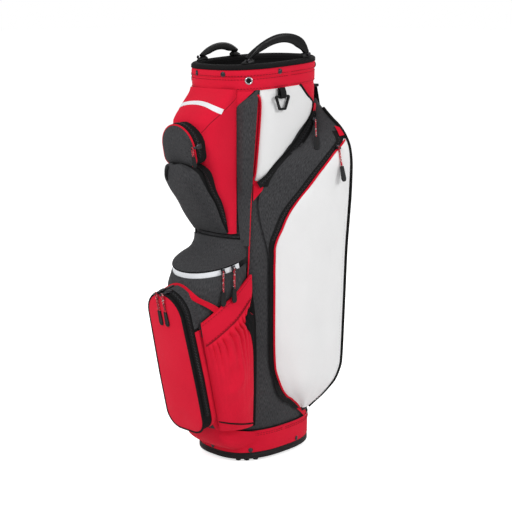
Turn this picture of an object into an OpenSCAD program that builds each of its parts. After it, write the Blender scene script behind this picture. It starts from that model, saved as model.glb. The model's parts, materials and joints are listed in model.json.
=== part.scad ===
// Golf bag with a moulded top, 15 club slots, zipped pockets, bottle pouches and a shoulder strap.
// Millimetres. Front is -Y, right is +X, up is +Z. The origin is the middle of the base on the floor.

/* [Overall] */
// height of the top rim above the floor
rim_height = 852; // [780:1:900]
// half of the tube's width at the rim, left to right
top_half_width = 105; // [90:1:130]
// half of the tube's length at the rim, front to back
top_half_length = 124; // [100:1:150]
// half of the tube's width at the floor
base_half_width = 93; // [80:1:120]
// half of the tube's length at the floor
base_half_length = 120; // [90:1:140]
// squareness of the oval section, 2 is an ellipse
oval = 2.6; // [2:0.1:4]
// tilt of the rim in degrees, back edge higher
rim_tilt = 3.5; // [0:0.5:5]
// thickness of the fabric wall
fabric = 2.5; // [1.5:0.5:4]

/* [Base and top] */
// height of a rubber stud
stud_height = 6; // [4:1:12]
// height of the tray's outside rim
tray_rim = 14; // [8:1:24]
// height of the tray's wall inside the tube
tray_wall = 36; // [20:2:60]
// height of the sewn band around the base
band_height = 49; // [30:1:60]
// height of the collar around the top
collar_height = 42; // [30:1:60]
// height of the moulded lip over the collar
lip_height = 14; // [8:1:20]
// thickness of a bar between two club slots
bar_width = 8; // [5:1:12]
// height of a bar between two club slots
bar_height = 22; // [12:1:40]
// distance of a long bar from the middle
bar_x = 32; // [25:1:40]
// distances of the cross bars from the middle
bar_y = [23, 68];
// outer radius of a lift handle's arch
handle_outer = 100; // [80:1:120]
// inner radius of a lift handle's arch
handle_inner = 81; // [60:1:100]
// thickness of a lift handle
handle_thick = 11; // [8:1:16]
// outward lean of a lift handle
handle_lean = 8; // [0:1:40]

/* [Pockets] */
// tilt of the ball pocket's face, top further out
ball_tilt = 12.6; // [0:0.2:25]
// radius of the ball pocket's round top
ball_radius = 50; // [40:1:70]
// depth of the ball pocket's zipped wall
ball_depth = 26; // [15:1:50]
// thickness of a padded flap
flap_thick = 5; // [3:0.5:8]
// thickness of a pocket's zipped wall
gusset = 2.5; // [1.5:0.5:4]
// tilt of the valuables pocket's face
valuables_tilt = 11; // [0:1:25]
// radius of the valuables pocket's round top
valuables_radius = 46; // [30:1:60]
// depth of the valuables pocket's zipped wall
valuables_depth = 22; // [12:1:40]
// radius of the cooler pocket
cooler_radius = 82; // [60:1:95]
// tilt of the cooler pocket's zip, front lower
cooler_tilt = 15; // [0:1:25]
// height of the cooler pocket's zip strip
cooler_strip = 12; // [8:1:20]
// length of a cord pull
pull_length = 70; // [40:2:90]
// length of the valuables pocket's pull
short_pull = 38; // [30:1:60]
// distance of the shoulder strap from the middle
strap_x = 34; // [0:1:50]
// width of the shoulder strap's pad
pad_width = 56; // [40:1:80]
// width of the shoulder strap's webbing
webbing_width = 38; // [25:1:50]

/* [Hidden] */
$fn = 48;
eps = 0.01;
// layers that lie on each other stay this far apart
gap = 1;
// points around the oval
around = 72;
band_bottom = stud_height + tray_rim + 0.4;
lip_bottom = rim_height - lip_height;
collar_bottom = lip_bottom - collar_height;
// the tables below were drawn for a rim at this height
drawn_height = 852;
// reach of the upper front from the middle, by height
upper_reach = raised([[498, 126], [564, 149], [597, 167], [645, 180], [700, 190.6], [725, 193], [737, 186],
                      [752, 170], [770, 154], [790, 135]]);
// reach of the slanted front pocket, by height
slant_reach = raised([[498, 131], [512, 147], [540, 171], [567, 190], [600, 215], [620, 225], [638, 225]]);
// reach of the lower front from the middle, by height
lower_reach = [[71, 149], [90, 166.7], [345, 223.7], [375, 222]];
// front edge of a side pocket as an angle around the tube, by height
side_front = raised([[85, 24], [128, 2], [170, -9], [210, -15.5], [266, -17], [430, -18], [560, -32],
                     [600, -26], [738, 39], [768, 46]]);
// rear edge of a side pocket as an angle around the tube, by height
side_rear = raised([[85, 34], [202, 65], [748, 65], [768, 60]]);
// outer corner of a side pocket, left to right, by height
corner_x = raised([[85, 96], [110, 113], [135, 132], [170, 151], [203, 157], [259, 160], [339, 163],
                   [456, 168], [517, 173], [580, 178], [628, 179], [664, 175], [688, 164], [706, 148],
                   [719, 129], [748, 92], [768, 74]]);
// outer corner of a side pocket, front to back, by height
corner_y = raised([[85, 52], [135, 84], [170, 100], [203, 108], [748, 108], [768, 104]]);
// swell of a side pocket's face, by height
side_swell = raised([[85, 2], [180, 14], [300, 18], [600, 18], [700, 8], [768, 3]]);
// front edge of the side pocket's light face as a part of the way across, by height
face_front = raised([[100, 0.08], [150, 0.03], [430, 0.03], [455, 0.07], [486, 0.24], [512, 0.37],
                     [553, 0.52], [608, 0.7], [664, 0.88]]);
ball_origin = [0, -166.4, 87];
ball_length = 262;
valuables_origin = [0, -181, up(648)];
valuables_length = 36;
cooler_centre = [0, -125, 436];
// where the right towel ring hangs
towel_pin = [top_half_width + 9, -31, rim_height - 74];

// a value part of the way between two others
function lerp(a, b, f) = a + (b - a) * f;
// a power that keeps the sign
function spow(v, p) = sign(v) * pow(abs(v), p);
function clamp01(v) = max(0, min(1, v));
// a drawn height above the waist follows the rim
function up(z) = z + (rim_height - drawn_height) * clamp01((z - 500) / 100);
function raised(table) = [for (p = table) [up(p[0]), p[1]]];
// a smooth step from 0 to 1
function ease(v) = let (c = clamp01(v)) c * c * (3 - 2 * c);
// half-sizes of the tube at a height
function wide(z) = lerp(base_half_width, top_half_width, z / rim_height);
function long(z) = lerp(base_half_length, top_half_length, z / rim_height);
// the top of the bag follows the tilted rim
function lift(p) = [p[0], p[1], p[2] + p[1] * tan(rim_tilt) * clamp01((p[2] - rim_height + 96) / 36)];
// a point on the tube's outside, at an angle and a height, some way out
function tube_flat(t, z, off = 0) =
    [(wide(z) + off) * spow(cos(t), 2 / oval), (long(z) + off) * spow(sin(t), 2 / oval), z];
function tube(t, z, off = 0) = lift(tube_flat(t, z, off));
// direction that the tube's outside faces, as an angle
function facing(t, z) =
    let (p = tube_flat(t - 0.5, z), q = tube_flat(t + 0.5, z)) atan2(q[1] - p[1], q[0] - p[0]) - 90;
// a point on a pocket that bows out in front, f from -1 at the left root to 1 at the right root
function bow(f, z, reach, square, root, off = 3) =
    let (e = tube_flat(root, z, off), a = 90 * f)
    lift([e[0] * spow(sin(a), 2 / square), e[1] - (reach + e[1]) * pow(abs(cos(a)), 2 / square), z]);
// a point on the right side pocket: f from 0 at its front edge to 1 at its outer corner
function side_face(f, z, off = 0) =
    let (e = tube_flat(lookup(z, side_front), z, 3),
         c = [lookup(z, corner_x), lookup(z, corner_y), z],
         d = c - e, len = max(1, norm(d)), n = [d[1], -d[0], 0] / len,
         b = lookup(z, side_swell) * pow(abs(sin(180 * f)), 0.8) + off)
    lift(e + d * f + n * b);
// a point on the right side pocket: g from 0 at the front edge over 1 at the corner to 2 at the rear edge
function side_point(g, z) =
    g <= 1 ? side_face(g, z)
    : let (c = side_face(1, z), e = tube(lookup(z, side_rear), z, 3)) lerp(c, e, g - 1)
      + [0, 6 * sin(180 * (g - 1)), 0];
// a point on the tilted ring of the cooler pocket, f beyond 1 lies on the tube
function cooler_ring(f, radius, up) =
    abs(f) > 1 ? tube(sign(f) * 42 - 90, cooler_centre[2] + up + 6, 3)
    : cooler_centre + [radius * sin(90 * f), -radius * cos(90 * f) * cos(cooler_tilt),
                       up - radius * cos(90 * f) * sin(cooler_tilt)];
// a circle through three points: centre, two axes in its plane, its normal and its radius
function circle3(p, q, r) =
    let (u = q - p, v = r - p, n = cross(u, v), m = n * n,
         c = p + (cross(n, u) * (v * v) + cross(v, n) * (u * u)) / (2 * m),
         ex = (p - c) / norm(p - c), ez = n / norm(n))
    [c, ex, cross(ez, ex), ez, norm(p - c)];
// the angle of a point on such a circle
function circle_angle(k, p) = atan2((p - k[0]) * k[2], (p - k[0]) * k[1]);
function circle_point(k, a, grow = 0) = k[0] + (k[1] * cos(a) + k[2] * sin(a)) * (k[4] + grow);
// paths of the two zips on the right side
upper_path = circle3(tube(-30, up(602), 9), tube(2, up(668), 9), tube(32, up(734), 10));
upper_end = circle_angle(upper_path, tube(32, up(734), 10));
lower_path = circle3(side_face(0.20, 480, 7), side_face(0.54, up(556), 7), side_face(0.88, up(664), 7));
lower_end = circle_angle(lower_path, side_face(0.88, up(664), 7));

// a thick patch between two grids of points, rows go up and columns go around to the left of outward
module quilt(outer, inner) {
    rows = len(outer);
    cols = len(outer[0]);
    half = rows * cols;
    points = concat([for (r = outer) each r], [for (r = inner) each r]);
    faces = concat(
        [for (k = [0 : rows - 2], i = [0 : cols - 2]) each let (a = k * cols + i, b = a + cols)
            [[a, b, b + 1], [a, b + 1, a + 1],
             [half + a, half + a + 1, half + b + 1], [half + a, half + b + 1, half + b]]],
        [for (i = [0 : cols - 2]) each let (a = i, b = (rows - 1) * cols + i)
            [[a, a + 1, half + a + 1], [a, half + a + 1, half + a],
             [b, half + b, half + b + 1], [b, half + b + 1, b + 1]]],
        [for (k = [0 : rows - 2]) each let (a = k * cols, b = a + cols, c = a + cols - 1, d = c + cols)
            [[half + a, half + b, b], [half + a, b, a],
             [c, d, half + d], [c, half + d, half + c]]]);
    polyhedron(points, faces, convexity = 8);
}

// a profile of [distance out, height] carried around the tube
module around_tube(profile) {
    n = len(profile);
    points = [for (i = [0 : around - 1], p = profile) tube(i * 360 / around, p[1], p[0])];
    faces = [for (i = [0 : around - 1], j = [0 : n - 1]) each
        let (a = i * n + j, b = i * n + (j + 1) % n, k = (i + 1) % around,
             c = k * n + (j + 1) % n, d = k * n + j)
        [[a, b, c], [a, c, d]]];
    polyhedron(points, faces, convexity = 8);
}

// the outline of the tube at a height
function outline(z, off) =
    [for (i = [0 : around - 1]) let (p = tube_flat(i * 360 / around, z, off)) [p[0], p[1]]];

// a round bar between two points
module rod(p, q, r) {
    d = q - p;
    translate(p) rotate([0, acos(d[2] / norm(d)), atan2(d[1], d[0])]) cylinder(h = norm(d), r = r);
}

// places its children on the tube with Z facing out
module on_tube(t, z, off) {
    translate(tube(t, z, off)) rotate([0, 90, facing(t, z)]) children();
}

// places its children on a zip's path: X out in a level direction, Y level, Z up
module on_path(k, a, grow, turn) {
    translate(circle_point(k, a, grow)) rotate([0, 0, turn]) children();
}

module both_sides() {
    children();
    mirror([1, 0, 0]) children();
}

// a slider with X out of the zip, its pin runs along Y
module slider() {
    rotate([0, 90, 0]) cylinder(h = 3, r = 5.5);
    for (s = [-1, 1]) translate([2.5, s * 3.4 - 0.8, -3]) cube([6, 1.6, 6]);
    rotate([90, 0, 0]) translate([6, 0, -3.4]) cylinder(h = 6.8, r = 0.9);
}

// a cord pull around the slider's pin, hanging down
module pull() {
    difference() {
        translate([6, 1.9, 0]) rotate([90, 0, 0]) cylinder(h = 3.8, r = 2.7);
        translate([6, 3, 0]) rotate([90, 0, 0]) cylinder(h = 6, r = 1.3);
    }
    translate([6, 0, -pull_length * 0.56]) cylinder(h = pull_length * 0.56 - 2, r = 1.8);
    translate([4, 0, 0]) rotate([90, 0, 90]) linear_extrude(4)
        polygon([[-4, -pull_length * 0.54], [-5.5, -pull_length + 5], [-3, -pull_length],
                 [3, -pull_length], [5.5, -pull_length + 5], [4, -pull_length * 0.54]]);
}

module ball_frame() {
    translate(ball_origin) rotate([90 + ball_tilt, 0, 0]) children();
}

module valuables_frame() {
    translate(valuables_origin) rotate([90 + valuables_tilt, 0, 0]) children();
}

// outline of the ball pocket, grown by some way
module ball_shape(g) {
    r = ball_radius + g;
    w = ball_radius + 5 + g;
    translate([0, ball_length]) circle(r);
    polygon([[-r, ball_length], [-w, 120], [-w, 35], [w, 35], [w, 120], [r, ball_length]]);
    for (s = [-1, 1]) translate([s * 20, 35]) circle(35 + g);
    translate([-20, -g]) square([40, 45 + g]);
}

// outline of the valuables pocket, grown by some way
module valuables_shape(g) {
    r = valuables_radius + g;
    translate([0, valuables_length]) intersection() {
        circle(r);
        translate([-r - 1, 0]) square(2 * r + 2);
    }
    translate([-r, 16]) square([2 * r, valuables_length - 16]);
    for (s = [-1, 1]) translate([s * (valuables_radius - 16), 16]) circle(16 + g);
    translate([-(valuables_radius - 16), -g]) square([2 * (valuables_radius - 16), 20 + g]);
}

// a slider on a round pocket's rim: its arm reaches over the flap, its pin points out
module rim_slider(radius, depth, angle) {
    rotate([0, 0, angle]) {
        translate([-5, radius + 2, depth - 14]) cube([10, 3, 13]);
        translate([-2.5, radius + 2, depth - 2]) cube([5, 3, flap_thick + 5]);
        translate([0, radius + 3.5, depth + flap_thick + 2]) cylinder(h = 9, r = 1.2);
        translate([0, radius + 3.5, depth + flap_thick + 9.6]) cylinder(h = 1.4, r = 2.4);
    }
}

// the pull of such a slider, hanging straight down in front of the flap
module rim_pull(radius, depth, angle, length) {
    p = [-(radius + 3.5) * sin(angle), (radius + 3.5) * cos(angle), depth + flap_thick + 4.2];
    translate(p) {
        difference() {
            cylinder(h = 4, r = 3.2);
            translate([0, 0, -1]) cylinder(h = 6, r = 1.6);
        }
        translate([0, -2.5, 2]) rotate([90, 0, 0]) cylinder(h = length * 0.56 - 2.5, r = 1.8);
        linear_extrude(4)
            polygon([[-4, -length * 0.54], [-5.5, -length + 5], [-3, -length],
                     [3, -length], [5.5, -length + 5], [4, -length * 0.54]]);
    }
}

module base_tray() {
    color("#1b1b1c") {
        difference() {
            translate([0, 0, stud_height]) linear_extrude(tray_rim) polygon(outline(20, 3.4));
            translate([0, 0, stud_height + 5]) linear_extrude(tray_rim) polygon(outline(20, -7));
        }
        translate([0, 0, stud_height + tray_rim - 2]) linear_extrude(tray_wall + 2) difference() {
            polygon(outline(20, -fabric - 1));
            polygon(outline(20, -7));
        }
    }
}

module foot_studs() {
    color("#111112") {
        for (q = [45, 135, 225, 315], s = [-13, 0, 13]) let (p = tube_flat(q + s, 0, -9))
            translate([p[0], p[1], 0]) cylinder(h = stud_height - 0.05, r = 5.5);
        cylinder(h = stud_height - 0.05, r = 12);
    }
}

module base_band() {
    b = band_bottom;
    color("#d3161b")
        around_tube([[0.8, b], [3.2, b], [3.8, b + 8], [3.8, b + band_height - 3], [3, b + band_height],
                     [0.8, b + band_height]]);
}

module base_rivets() {
    color("#2a2a2c") for (t = [-90, -40, 12, 90, 168, 220]) on_tube(t, band_bottom + 6.2, 4) {
        cylinder(h = 1.2, r = 5);
        cylinder(h = 2.2, r = 3);
    }
}

module body_shell() {
    bend = rim_height - 94;
    color("#3c3c40")
        around_tube([[-fabric, band_bottom], [0, band_bottom], [0, bend], [0, lip_bottom - 1],
                     [-fabric, lip_bottom - 1], [-fabric, bend]]);
}

module stay_rods() {
    color("#26262a") for (q = [52, 128, 232, 308])
        rod(tube_flat(q, 11.5, -12), tube_flat(q, lip_bottom - 38, -12), 3);
}

module back_pad() {
    low = 96;
    top = rim_height - 84;
    rows = [for (k = [0 : 12]) lerp(low, top, k / 12)];
    color("#3c3c40") quilt(
        [for (z = rows) [for (i = [0 : 8])
            let (e = min(1, min(i, 8 - i) / 2), v = min(1, min(z - low, top - z) / 50))
            tube(70 + i * 5, z, 3 + 6 * sqrt(e * v))]],
        [for (z = rows) [for (i = [0 : 8]) tube(70 + i * 5, z, gap)]]);
}

module top_cuff() {
    b = lip_bottom;
    skirt = rim_height - 80;
    color("#1b1b1c")
        around_tube([[-7, skirt], [-fabric - 0.8, skirt], [-fabric - 0.8, b + 0.4],
                     [5.2, b + 0.4], [6, b + 3], [6, rim_height - 5], [3, rim_height], [-7, rim_height],
                     [-10, rim_height - 4], [-10, b + 3], [-7, b - 1]]);
}

// club slots: long bars from front to back and short bars between them, up to the wall at a height
module slot_grid(z0, h, thick, zw, inset) {
    a = wide(zw) - inset;
    b = long(zw) - inset;
    span = b * pow(1 - pow((bar_x + thick / 2) / a, oval), 1 / oval);
    reach = [for (y = bar_y) a * pow(1 - pow((y + thick / 2) / b, oval), 1 / oval)];
    for (s = [-1, 1]) translate([s * bar_x - thick / 2, -span, z0]) cube([thick, 2 * span, h]);
    for (k = [0, 1], s = [-1, 1]) {
        inner = bar_x - thick / 2 - 0.3;
        outer = bar_x + thick / 2 + 0.3;
        translate([-inner, s * bar_y[k] - thick / 2, z0]) cube([2 * inner, thick, h]);
        for (m = [-1, 1])
            translate([m > 0 ? outer : -reach[k], s * bar_y[k] - thick / 2, z0])
                cube([reach[k] - outer, thick, h]);
    }
}

module divider_bars() {
    color("#222224") slot_grid(lip_bottom - bar_height - 11, bar_height, bar_width, lip_bottom - 17, 7.9);
}

module divider_sheets() {
    color("#2d2d30") slot_grid(11.4, lip_bottom - bar_height - 22.7, 1.6, band_bottom, 10.6);
}

// how far the centre of a handle's arch lies under the rim, for the tall right one and the low left one
handle_depth = [48, 64];
// height above the rim at which an arch runs into its feet
handle_seat = 7.7;
// middle radius of the arch
handle_middle = (handle_inner + handle_outer) / 2;
function handle_start(depth) = asin((depth + handle_seat) / handle_middle);
function handle_reach(depth) = handle_middle * cos(handle_start(depth)) + 1.7;

// places its children on the rim where a handle stands, X out and Y along it
module handle_frame() {
    translate([0, 0, rim_height]) rotate([rim_tilt, 0, 0])
        translate([top_half_width - 20, -18, 0]) rotate([0, 0, -9]) children();
}

module handle(depth) {
    start = handle_start(depth);
    color("#151516") handle_frame() {
        rotate([0, handle_lean, 0]) translate([0, 0, -depth]) rotate([90, 0, 90])
            rotate([0, 0, start]) rotate_extrude(angle = 180 - 2 * start) {
                translate([handle_inner, -handle_thick / 2 + 2])
                    square([handle_outer - handle_inner, handle_thick - 4]);
                translate([handle_inner + 2, -handle_thick / 2])
                    square([handle_outer - handle_inner - 4, handle_thick]);
            }
        for (s = [-1, 1]) translate([-7, s * handle_reach(depth) - 13, 0.5]) cube([17, 26, 13]);
    }
}

module handle_right() {
    handle(handle_depth[0]);
}

module handle_left() {
    mirror([1, 0, 0]) handle(handle_depth[1]);
}

module handle_screws() {
    color("#8a8a8d") for (k = [0, 1]) mirror([k, 0, 0]) handle_frame()
        for (s = [-1, 1]) translate([10.1, s * (handle_reach(handle_depth[k]) + 5), 7]) rotate([0, 90, 0])
            cylinder(h = 1.8, r = 3.6);
}

module collar() {
    b = collar_bottom;
    t = lip_bottom;
    color("#d3161b")
        around_tube([[0.8, b], [3.6, b], [4.4, b + 4], [4.4, t - 16], [3.4, t - 15], [4.8, t - 14],
                     [4.8, t - 2], [4, t], [0.8, t]]);
}

module collar_snaps() {
    color("#1a1a1b") for (t = [-75, -10, 45, 78, 102, 135, 190, 255]) on_tube(t, lip_bottom - 8, 5) {
        cylinder(h = 1.4, r = 5.5);
        cylinder(h = 2.6, r = 3.6);
    }
}

module eyelets() {
    color("#b9b9bd") both_sides() on_tube(-44.5, collar_bottom + 20.5, 4.9) difference() {
        cylinder(h = 2.2, r = 8);
        translate([0, 0, -1]) cylinder(h = 5, r = 4.6);
    }
}

module towel_loops() {
    color("#141415") both_sides() difference() {
        translate([top_half_width + 3.9, -39, rim_height - 81]) cube([10.2, 16, 20]);
        translate(towel_pin) rotate([90, 0, 0]) cylinder(h = 30, r = 3, center = true);
    }
}

// a rounded triangle, grown by some way
module ring_shape(g) {
    hull() {
        for (s = [-1, 1]) translate([s * 12, -2.6]) circle(4.5 + g, $fn = 20);
        for (s = [-1, 1]) translate([s * 4, -23]) circle(4.5 + g, $fn = 20);
    }
}

module towel_ring() {
    color("#161617") translate(towel_pin - [1.9, 0, 0]) rotate([90, 0, 90]) linear_extrude(3.8) difference() {
        ring_shape(0);
        ring_shape(-3.8);
    }
}

module towel_ring_right() {
    towel_ring();
}

module towel_ring_left() {
    mirror([1, 0, 0]) towel_ring();
}

module upper_pocket() {
    rows = [for (z = [498, 530, 564, 597, 620, 645, 672, 700, 715, 725, 737, 752, 770, 790]) up(z)];
    color("#d3161b") quilt(
        [for (z = rows) [for (i = [0 : 18]) bow((i - 9) / 9, z, lookup(z, upper_reach), 3.4, -60)]],
        [for (z = rows) [for (i = [0 : 18]) tube(-90 + (i - 9) / 9 * 30, z, gap)]]);
}

module slant_pocket() {
    rows = [for (z = [500, 512, 540, 567, 584, 600, 613, 625, 634, 638]) up(z)];
    span = 0.52;
    color("#3c3c40") quilt(
        [for (z = rows) [for (i = [0 : 12]) let (f = (i - 6) / 6,
            d = lookup(z, slant_reach) - lookup(z, upper_reach),
            e = d * (1 - 0.45 * pow(abs(f), 3)))
            bow(f * span, z, lookup(z, upper_reach), 3.4, -60) - [0, e, 0]]],
        [for (z = rows) [for (i = [0 : 12])
            bow((i - 6) / 6 * span, z, lookup(z, upper_reach), 3.4, -60) - [0, gap, 0]]]);
}

module valuables_box() {
    color("#1d1d1f") valuables_frame() {
        linear_extrude(2) valuables_shape(-gusset - 0.3);
        linear_extrude(valuables_depth) difference() {
            valuables_shape(0);
            valuables_shape(-gusset);
        }
    }
}

module valuables_flap() {
    color("#414146") valuables_frame() translate([0, 0, valuables_depth + 0.5])
        linear_extrude(flap_thick) valuables_shape(0);
}

module valuables_zip() {
    color("#0f0f10") valuables_frame() translate([0, 0, valuables_depth - 10])
        linear_extrude(5) difference() {
        valuables_shape(1.6);
        valuables_shape(0.3);
        translate([-80, -20]) square([160, 36]);
    }
}

module valuables_slider() {
    color("#19191a") valuables_frame() translate([0, valuables_length, 0])
        rim_slider(valuables_radius, valuables_depth, -86);
}

module valuables_pull() {
    color("#c9363a") valuables_frame() translate([0, valuables_length, 0])
        rim_pull(valuables_radius, valuables_depth, -86, short_pull);
}

// steps around the cooler pocket
cooler_steps = [for (i = [-13 : 13]) i / 12];

module cooler_box() {
    r = cooler_radius;
    low = -cooler_strip / 2 - 0.4;
    color("#3c3c40") difference() {
        quilt(
            [[for (f = cooler_steps) abs(f) > 1 ? tube(sign(f) * 42 - 90, 376.4, 3)
                : [(r - 6) * sin(90 * f), -125 - (220 - 125) * cos(90 * f), 376.4]],
             [for (f = cooler_steps) cooler_ring(f, r, low)]],
            [[for (f = cooler_steps) tube(f / 13 * 12 * 42 - 90, 376.4, gap)],
             [for (f = cooler_steps) let (p = cooler_ring(f, r, low))
                tube(f / 13 * 12 * 42 - 90, p[2], gap)]]);
        translate([0, -125, 381]) linear_extrude(90) intersection() {
            circle(r - 11);
            translate([-100, -120]) square([200, 116]);
        }
    }
}

module cooler_lid() {
    r = cooler_radius;
    up = cooler_strip / 2 + 0.4;
    steps = [0, 0.25, 0.5, 0.75, 1];
    color("#3c3c40") quilt(
        [for (s = steps) [for (f = cooler_steps)
            lerp(cooler_ring(f, r, up), tube(-90 + f * 34, 484, 3.2), s) + [0, -1, 1] * sin(180 * s)]],
        [for (s = steps) [for (f = cooler_steps)
            let (a = cooler_ring(f, r - 5, up))
            lerp(abs(f) > 1 ? tube(sign(f) * 42 - 90, a[2], gap) : a, tube(-90 + f * 34, 478, gap), s)
                + [0, -1, 1] * sin(180 * s)]]);
}

module cooler_zip() {
    r = cooler_radius;
    color("#cfd0d2") translate(cooler_centre) rotate([cooler_tilt, 0, 0]) rotate([0, 0, 180])
        rotate_extrude(angle = 180)
            translate([r - 4, -cooler_strip / 2 + 0.4]) square([4.8, cooler_strip - 0.8]);
}

// places its children on the cooler's zip: X out, Y level, Z up, at an angle from the front
module on_cooler(angle) {
    p = cooler_ring(angle / 90, cooler_radius + 1.6, 0);
    translate(p) rotate([0, 0, angle - 90]) children();
}

module cooler_slider_front() {
    color("#19191a") on_cooler(62) slider();
}

module cooler_slider_rear() {
    color("#19191a") on_cooler(78) slider();
}

module cooler_pull_front() {
    color("#c9363a") on_cooler(62) pull();
}

module cooler_pull_rear() {
    color("#c9363a") on_cooler(78) pull();
}

module front_housing() {
    rows = [71, 80, 90, 160, 250, 345, 375];
    color("#35353a") difference() {
        quilt(
            [for (z = rows) [for (i = [0 : 18]) bow((i - 9) / 9, z, lookup(z, lower_reach), 5, -60)]],
            [for (z = rows) [for (i = [0 : 18]) tube(-90 + (i - 9) / 9 * 30, z, gap)]]);
        ball_frame() translate([-42, 45, -32]) cube([84, 205, 40]);
    }
}

module ball_box() {
    color("#1d1d1f") ball_frame() linear_extrude(ball_depth) difference() {
        ball_shape(0);
        ball_shape(-gusset);
    }
}

module ball_flap() {
    color("#d3161b") ball_frame() translate([0, 0, ball_depth + 0.5])
        linear_extrude(flap_thick) ball_shape(0);
}

module ball_zip() {
    color("#0f0f10") ball_frame() translate([0, 0, ball_depth - 12]) linear_extrude(5) difference() {
        ball_shape(1.6);
        ball_shape(0.3);
        translate([-80, -20]) square([160, 55]);
    }
}

module ball_slider_right() {
    color("#19191a") ball_frame() translate([0, ball_length, 0]) rim_slider(ball_radius, ball_depth, -10);
}

module ball_slider_left() {
    color("#19191a") ball_frame() translate([0, ball_length, 0]) rim_slider(ball_radius, ball_depth, 10);
}

module ball_pull_right() {
    color("#c9363a") ball_frame() translate([0, ball_length, 0])
        rim_pull(ball_radius, ball_depth, -10, pull_length);
}

module ball_pull_left() {
    color("#c9363a") ball_frame() translate([0, ball_length, 0])
        rim_pull(ball_radius, ball_depth, 10, pull_length);
}

// front and rear seam of the right bottle pouch at a height
function pouch_front(z) = [59, ball_origin[1] - (z - ball_origin[2]) * tan(ball_tilt) + 8, z];
function pouch_rear(z) = tube_flat(-38, z, 3.6);
// a point on the right bottle pouch: f across from the front seam, r up from the bottom
function pouch(f, r, off = 0) =
    let (z = lerp(84, lerp(322, 402, f), r), a = pouch_front(z), b = pouch_rear(z), d = b - a,
         n = [d[1], -d[0], 0] / norm(d),
         swell = (8 + 18 * sin(180 * pow(r, 0.8))) * pow(abs(sin(180 * f)), 0.7))
    a + d * f + n * (swell + off);

module bottle_pouches() {
    rows = [for (k = [0 : 8]) k / 8];
    cols = [for (i = [0 : 10]) i / 10];
    color("#d3161b") both_sides() {
        quilt(
            [for (r = rows) [for (f = cols) pouch(f, r)]],
            [for (r = rows) [for (f = cols) pouch(f, r, -fabric)]]);
        translate([0, 0, 80]) linear_extrude(3.8)
            polygon(concat([for (f = cols) let (p = pouch(f, 0)) [p[0], p[1]]],
                           [[67, -98], [61, -110], [61, -150]]));
    }
}

module strap_sleeves() {
    rows = [for (z = [494, 502, 520, 600, 690, 745, 768, 782, 790]) up(z)];
    color("#414146") both_sides() quilt(
        [for (z = rows) [for (i = [0 : 8]) tube(-54 + i * 2.25, z, 2.9 + 8.6 * sleeve_rise(i / 8, z))]],
        [for (z = rows) [for (i = [0 : 8]) tube(-54 + i * 2.25, z, 0.4 + 8.6 * sleeve_rise(i / 8, z))]]);
}

// the sleeve lies on the tube at its ends and at one edge
function sleeve_rise(f, z) = ease(f / 0.4) * ease((z - 494) / 40) * ease((up(790) - z) / 30);

module upper_side_panels() {
    rows = [for (z = [618, 640, 665, 690, 715, 740, 765, 790]) up(z)];
    edge = raised([[618, -29.5], [740, 25], [790, 30]]);
    color("#ececec") both_sides() quilt(
        [for (z = rows) [for (i = [0 : 12]) tube(lerp(-33, lookup(z, edge), i / 12), z, 4.5)]],
        [for (z = rows) [for (i = [0 : 12]) tube(lerp(-33, lookup(z, edge), i / 12), z, gap)]]);
}

module apparel_pockets() {
    rows = [for (z = [88, 106, 124, 150, 180, 202, 259, 339, 430, 486, 530, 560, 600, 628, 664,
                    688, 706, 719, 735, 748, 762]) up(z)];
    cols = [0, 0.12, 0.25, 0.4, 0.55, 0.7, 0.82, 0.92, 1, 1.15, 1.32, 1.5, 1.68, 1.85, 2];
    color("#3c3c40") both_sides() quilt(
        [for (z = rows) [for (g = cols) side_point(g, z)]],
        [for (z = rows) [for (g = cols)
            tube(lerp(lookup(z, side_front), lookup(z, side_rear), g / 2), z, gap + 0.4)]]);
}

module apparel_faces() {
    rows = [for (z = [104, 124, 150, 180, 202, 259, 339, 430, 455, 486, 512, 553, 608, 640, 664]) up(z)];
    color("#ececec") both_sides() quilt(
        [for (z = rows) [for (i = [0 : 10])
            side_face(lerp(lookup(z, face_front) + 0.02, 0.96, i / 10), z, 4.2)]],
        [for (z = rows) [for (i = [0 : 10])
            side_face(lerp(lookup(z, face_front) + 0.02, 0.96, i / 10), z, 1.4)]]);
}

// a zip's teeth along a round path
module zip_arc(k, a0, a1) {
    multmatrix([[k[1][0], k[2][0], k[3][0], k[0][0]],
                [k[1][1], k[2][1], k[3][1], k[0][1]],
                [k[1][2], k[2][2], k[3][2], k[0][2]], [0, 0, 0, 1]])
        rotate([0, 0, a0]) rotate_extrude(angle = a1 - a0) translate([k[4] - 1, -3]) square([2, 6]);
}

module side_zips() {
    color("#0f0f10") both_sides() {
        zip_arc(upper_path, 0, upper_end);
        zip_arc(lower_path, 0, lower_end);
    }
}

module upper_slider_right() {
    color("#19191a") on_path(upper_path, upper_end - 2.5, 4.2, -5) slider();
}

module upper_slider_left() {
    mirror([1, 0, 0]) upper_slider_right();
}

module lower_slider_right() {
    color("#19191a") on_path(lower_path, lower_end - 2, 2.4, -15) slider();
}

module lower_slider_left() {
    mirror([1, 0, 0]) lower_slider_right();
}

module upper_pull_right() {
    color("#c9363a") on_path(upper_path, upper_end - 2.5, 4.2, -5)
        translate([6, 0, 0]) rotate([0, -56, 0]) translate([-6, 0, 0]) pull();
}

module upper_pull_left() {
    mirror([1, 0, 0]) upper_pull_right();
}

module lower_pull_right() {
    color("#c9363a") on_path(lower_path, lower_end - 2, 2.4, -15) pull();
}

module lower_pull_left() {
    mirror([1, 0, 0]) lower_pull_right();
}

// the shoulder strap hangs away from the back between its two ends
function strap_y(z) = long(z) + 16.3 + 36 * sin(180 * clamp01((z - 340) / (up(786) - 340)));

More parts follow.
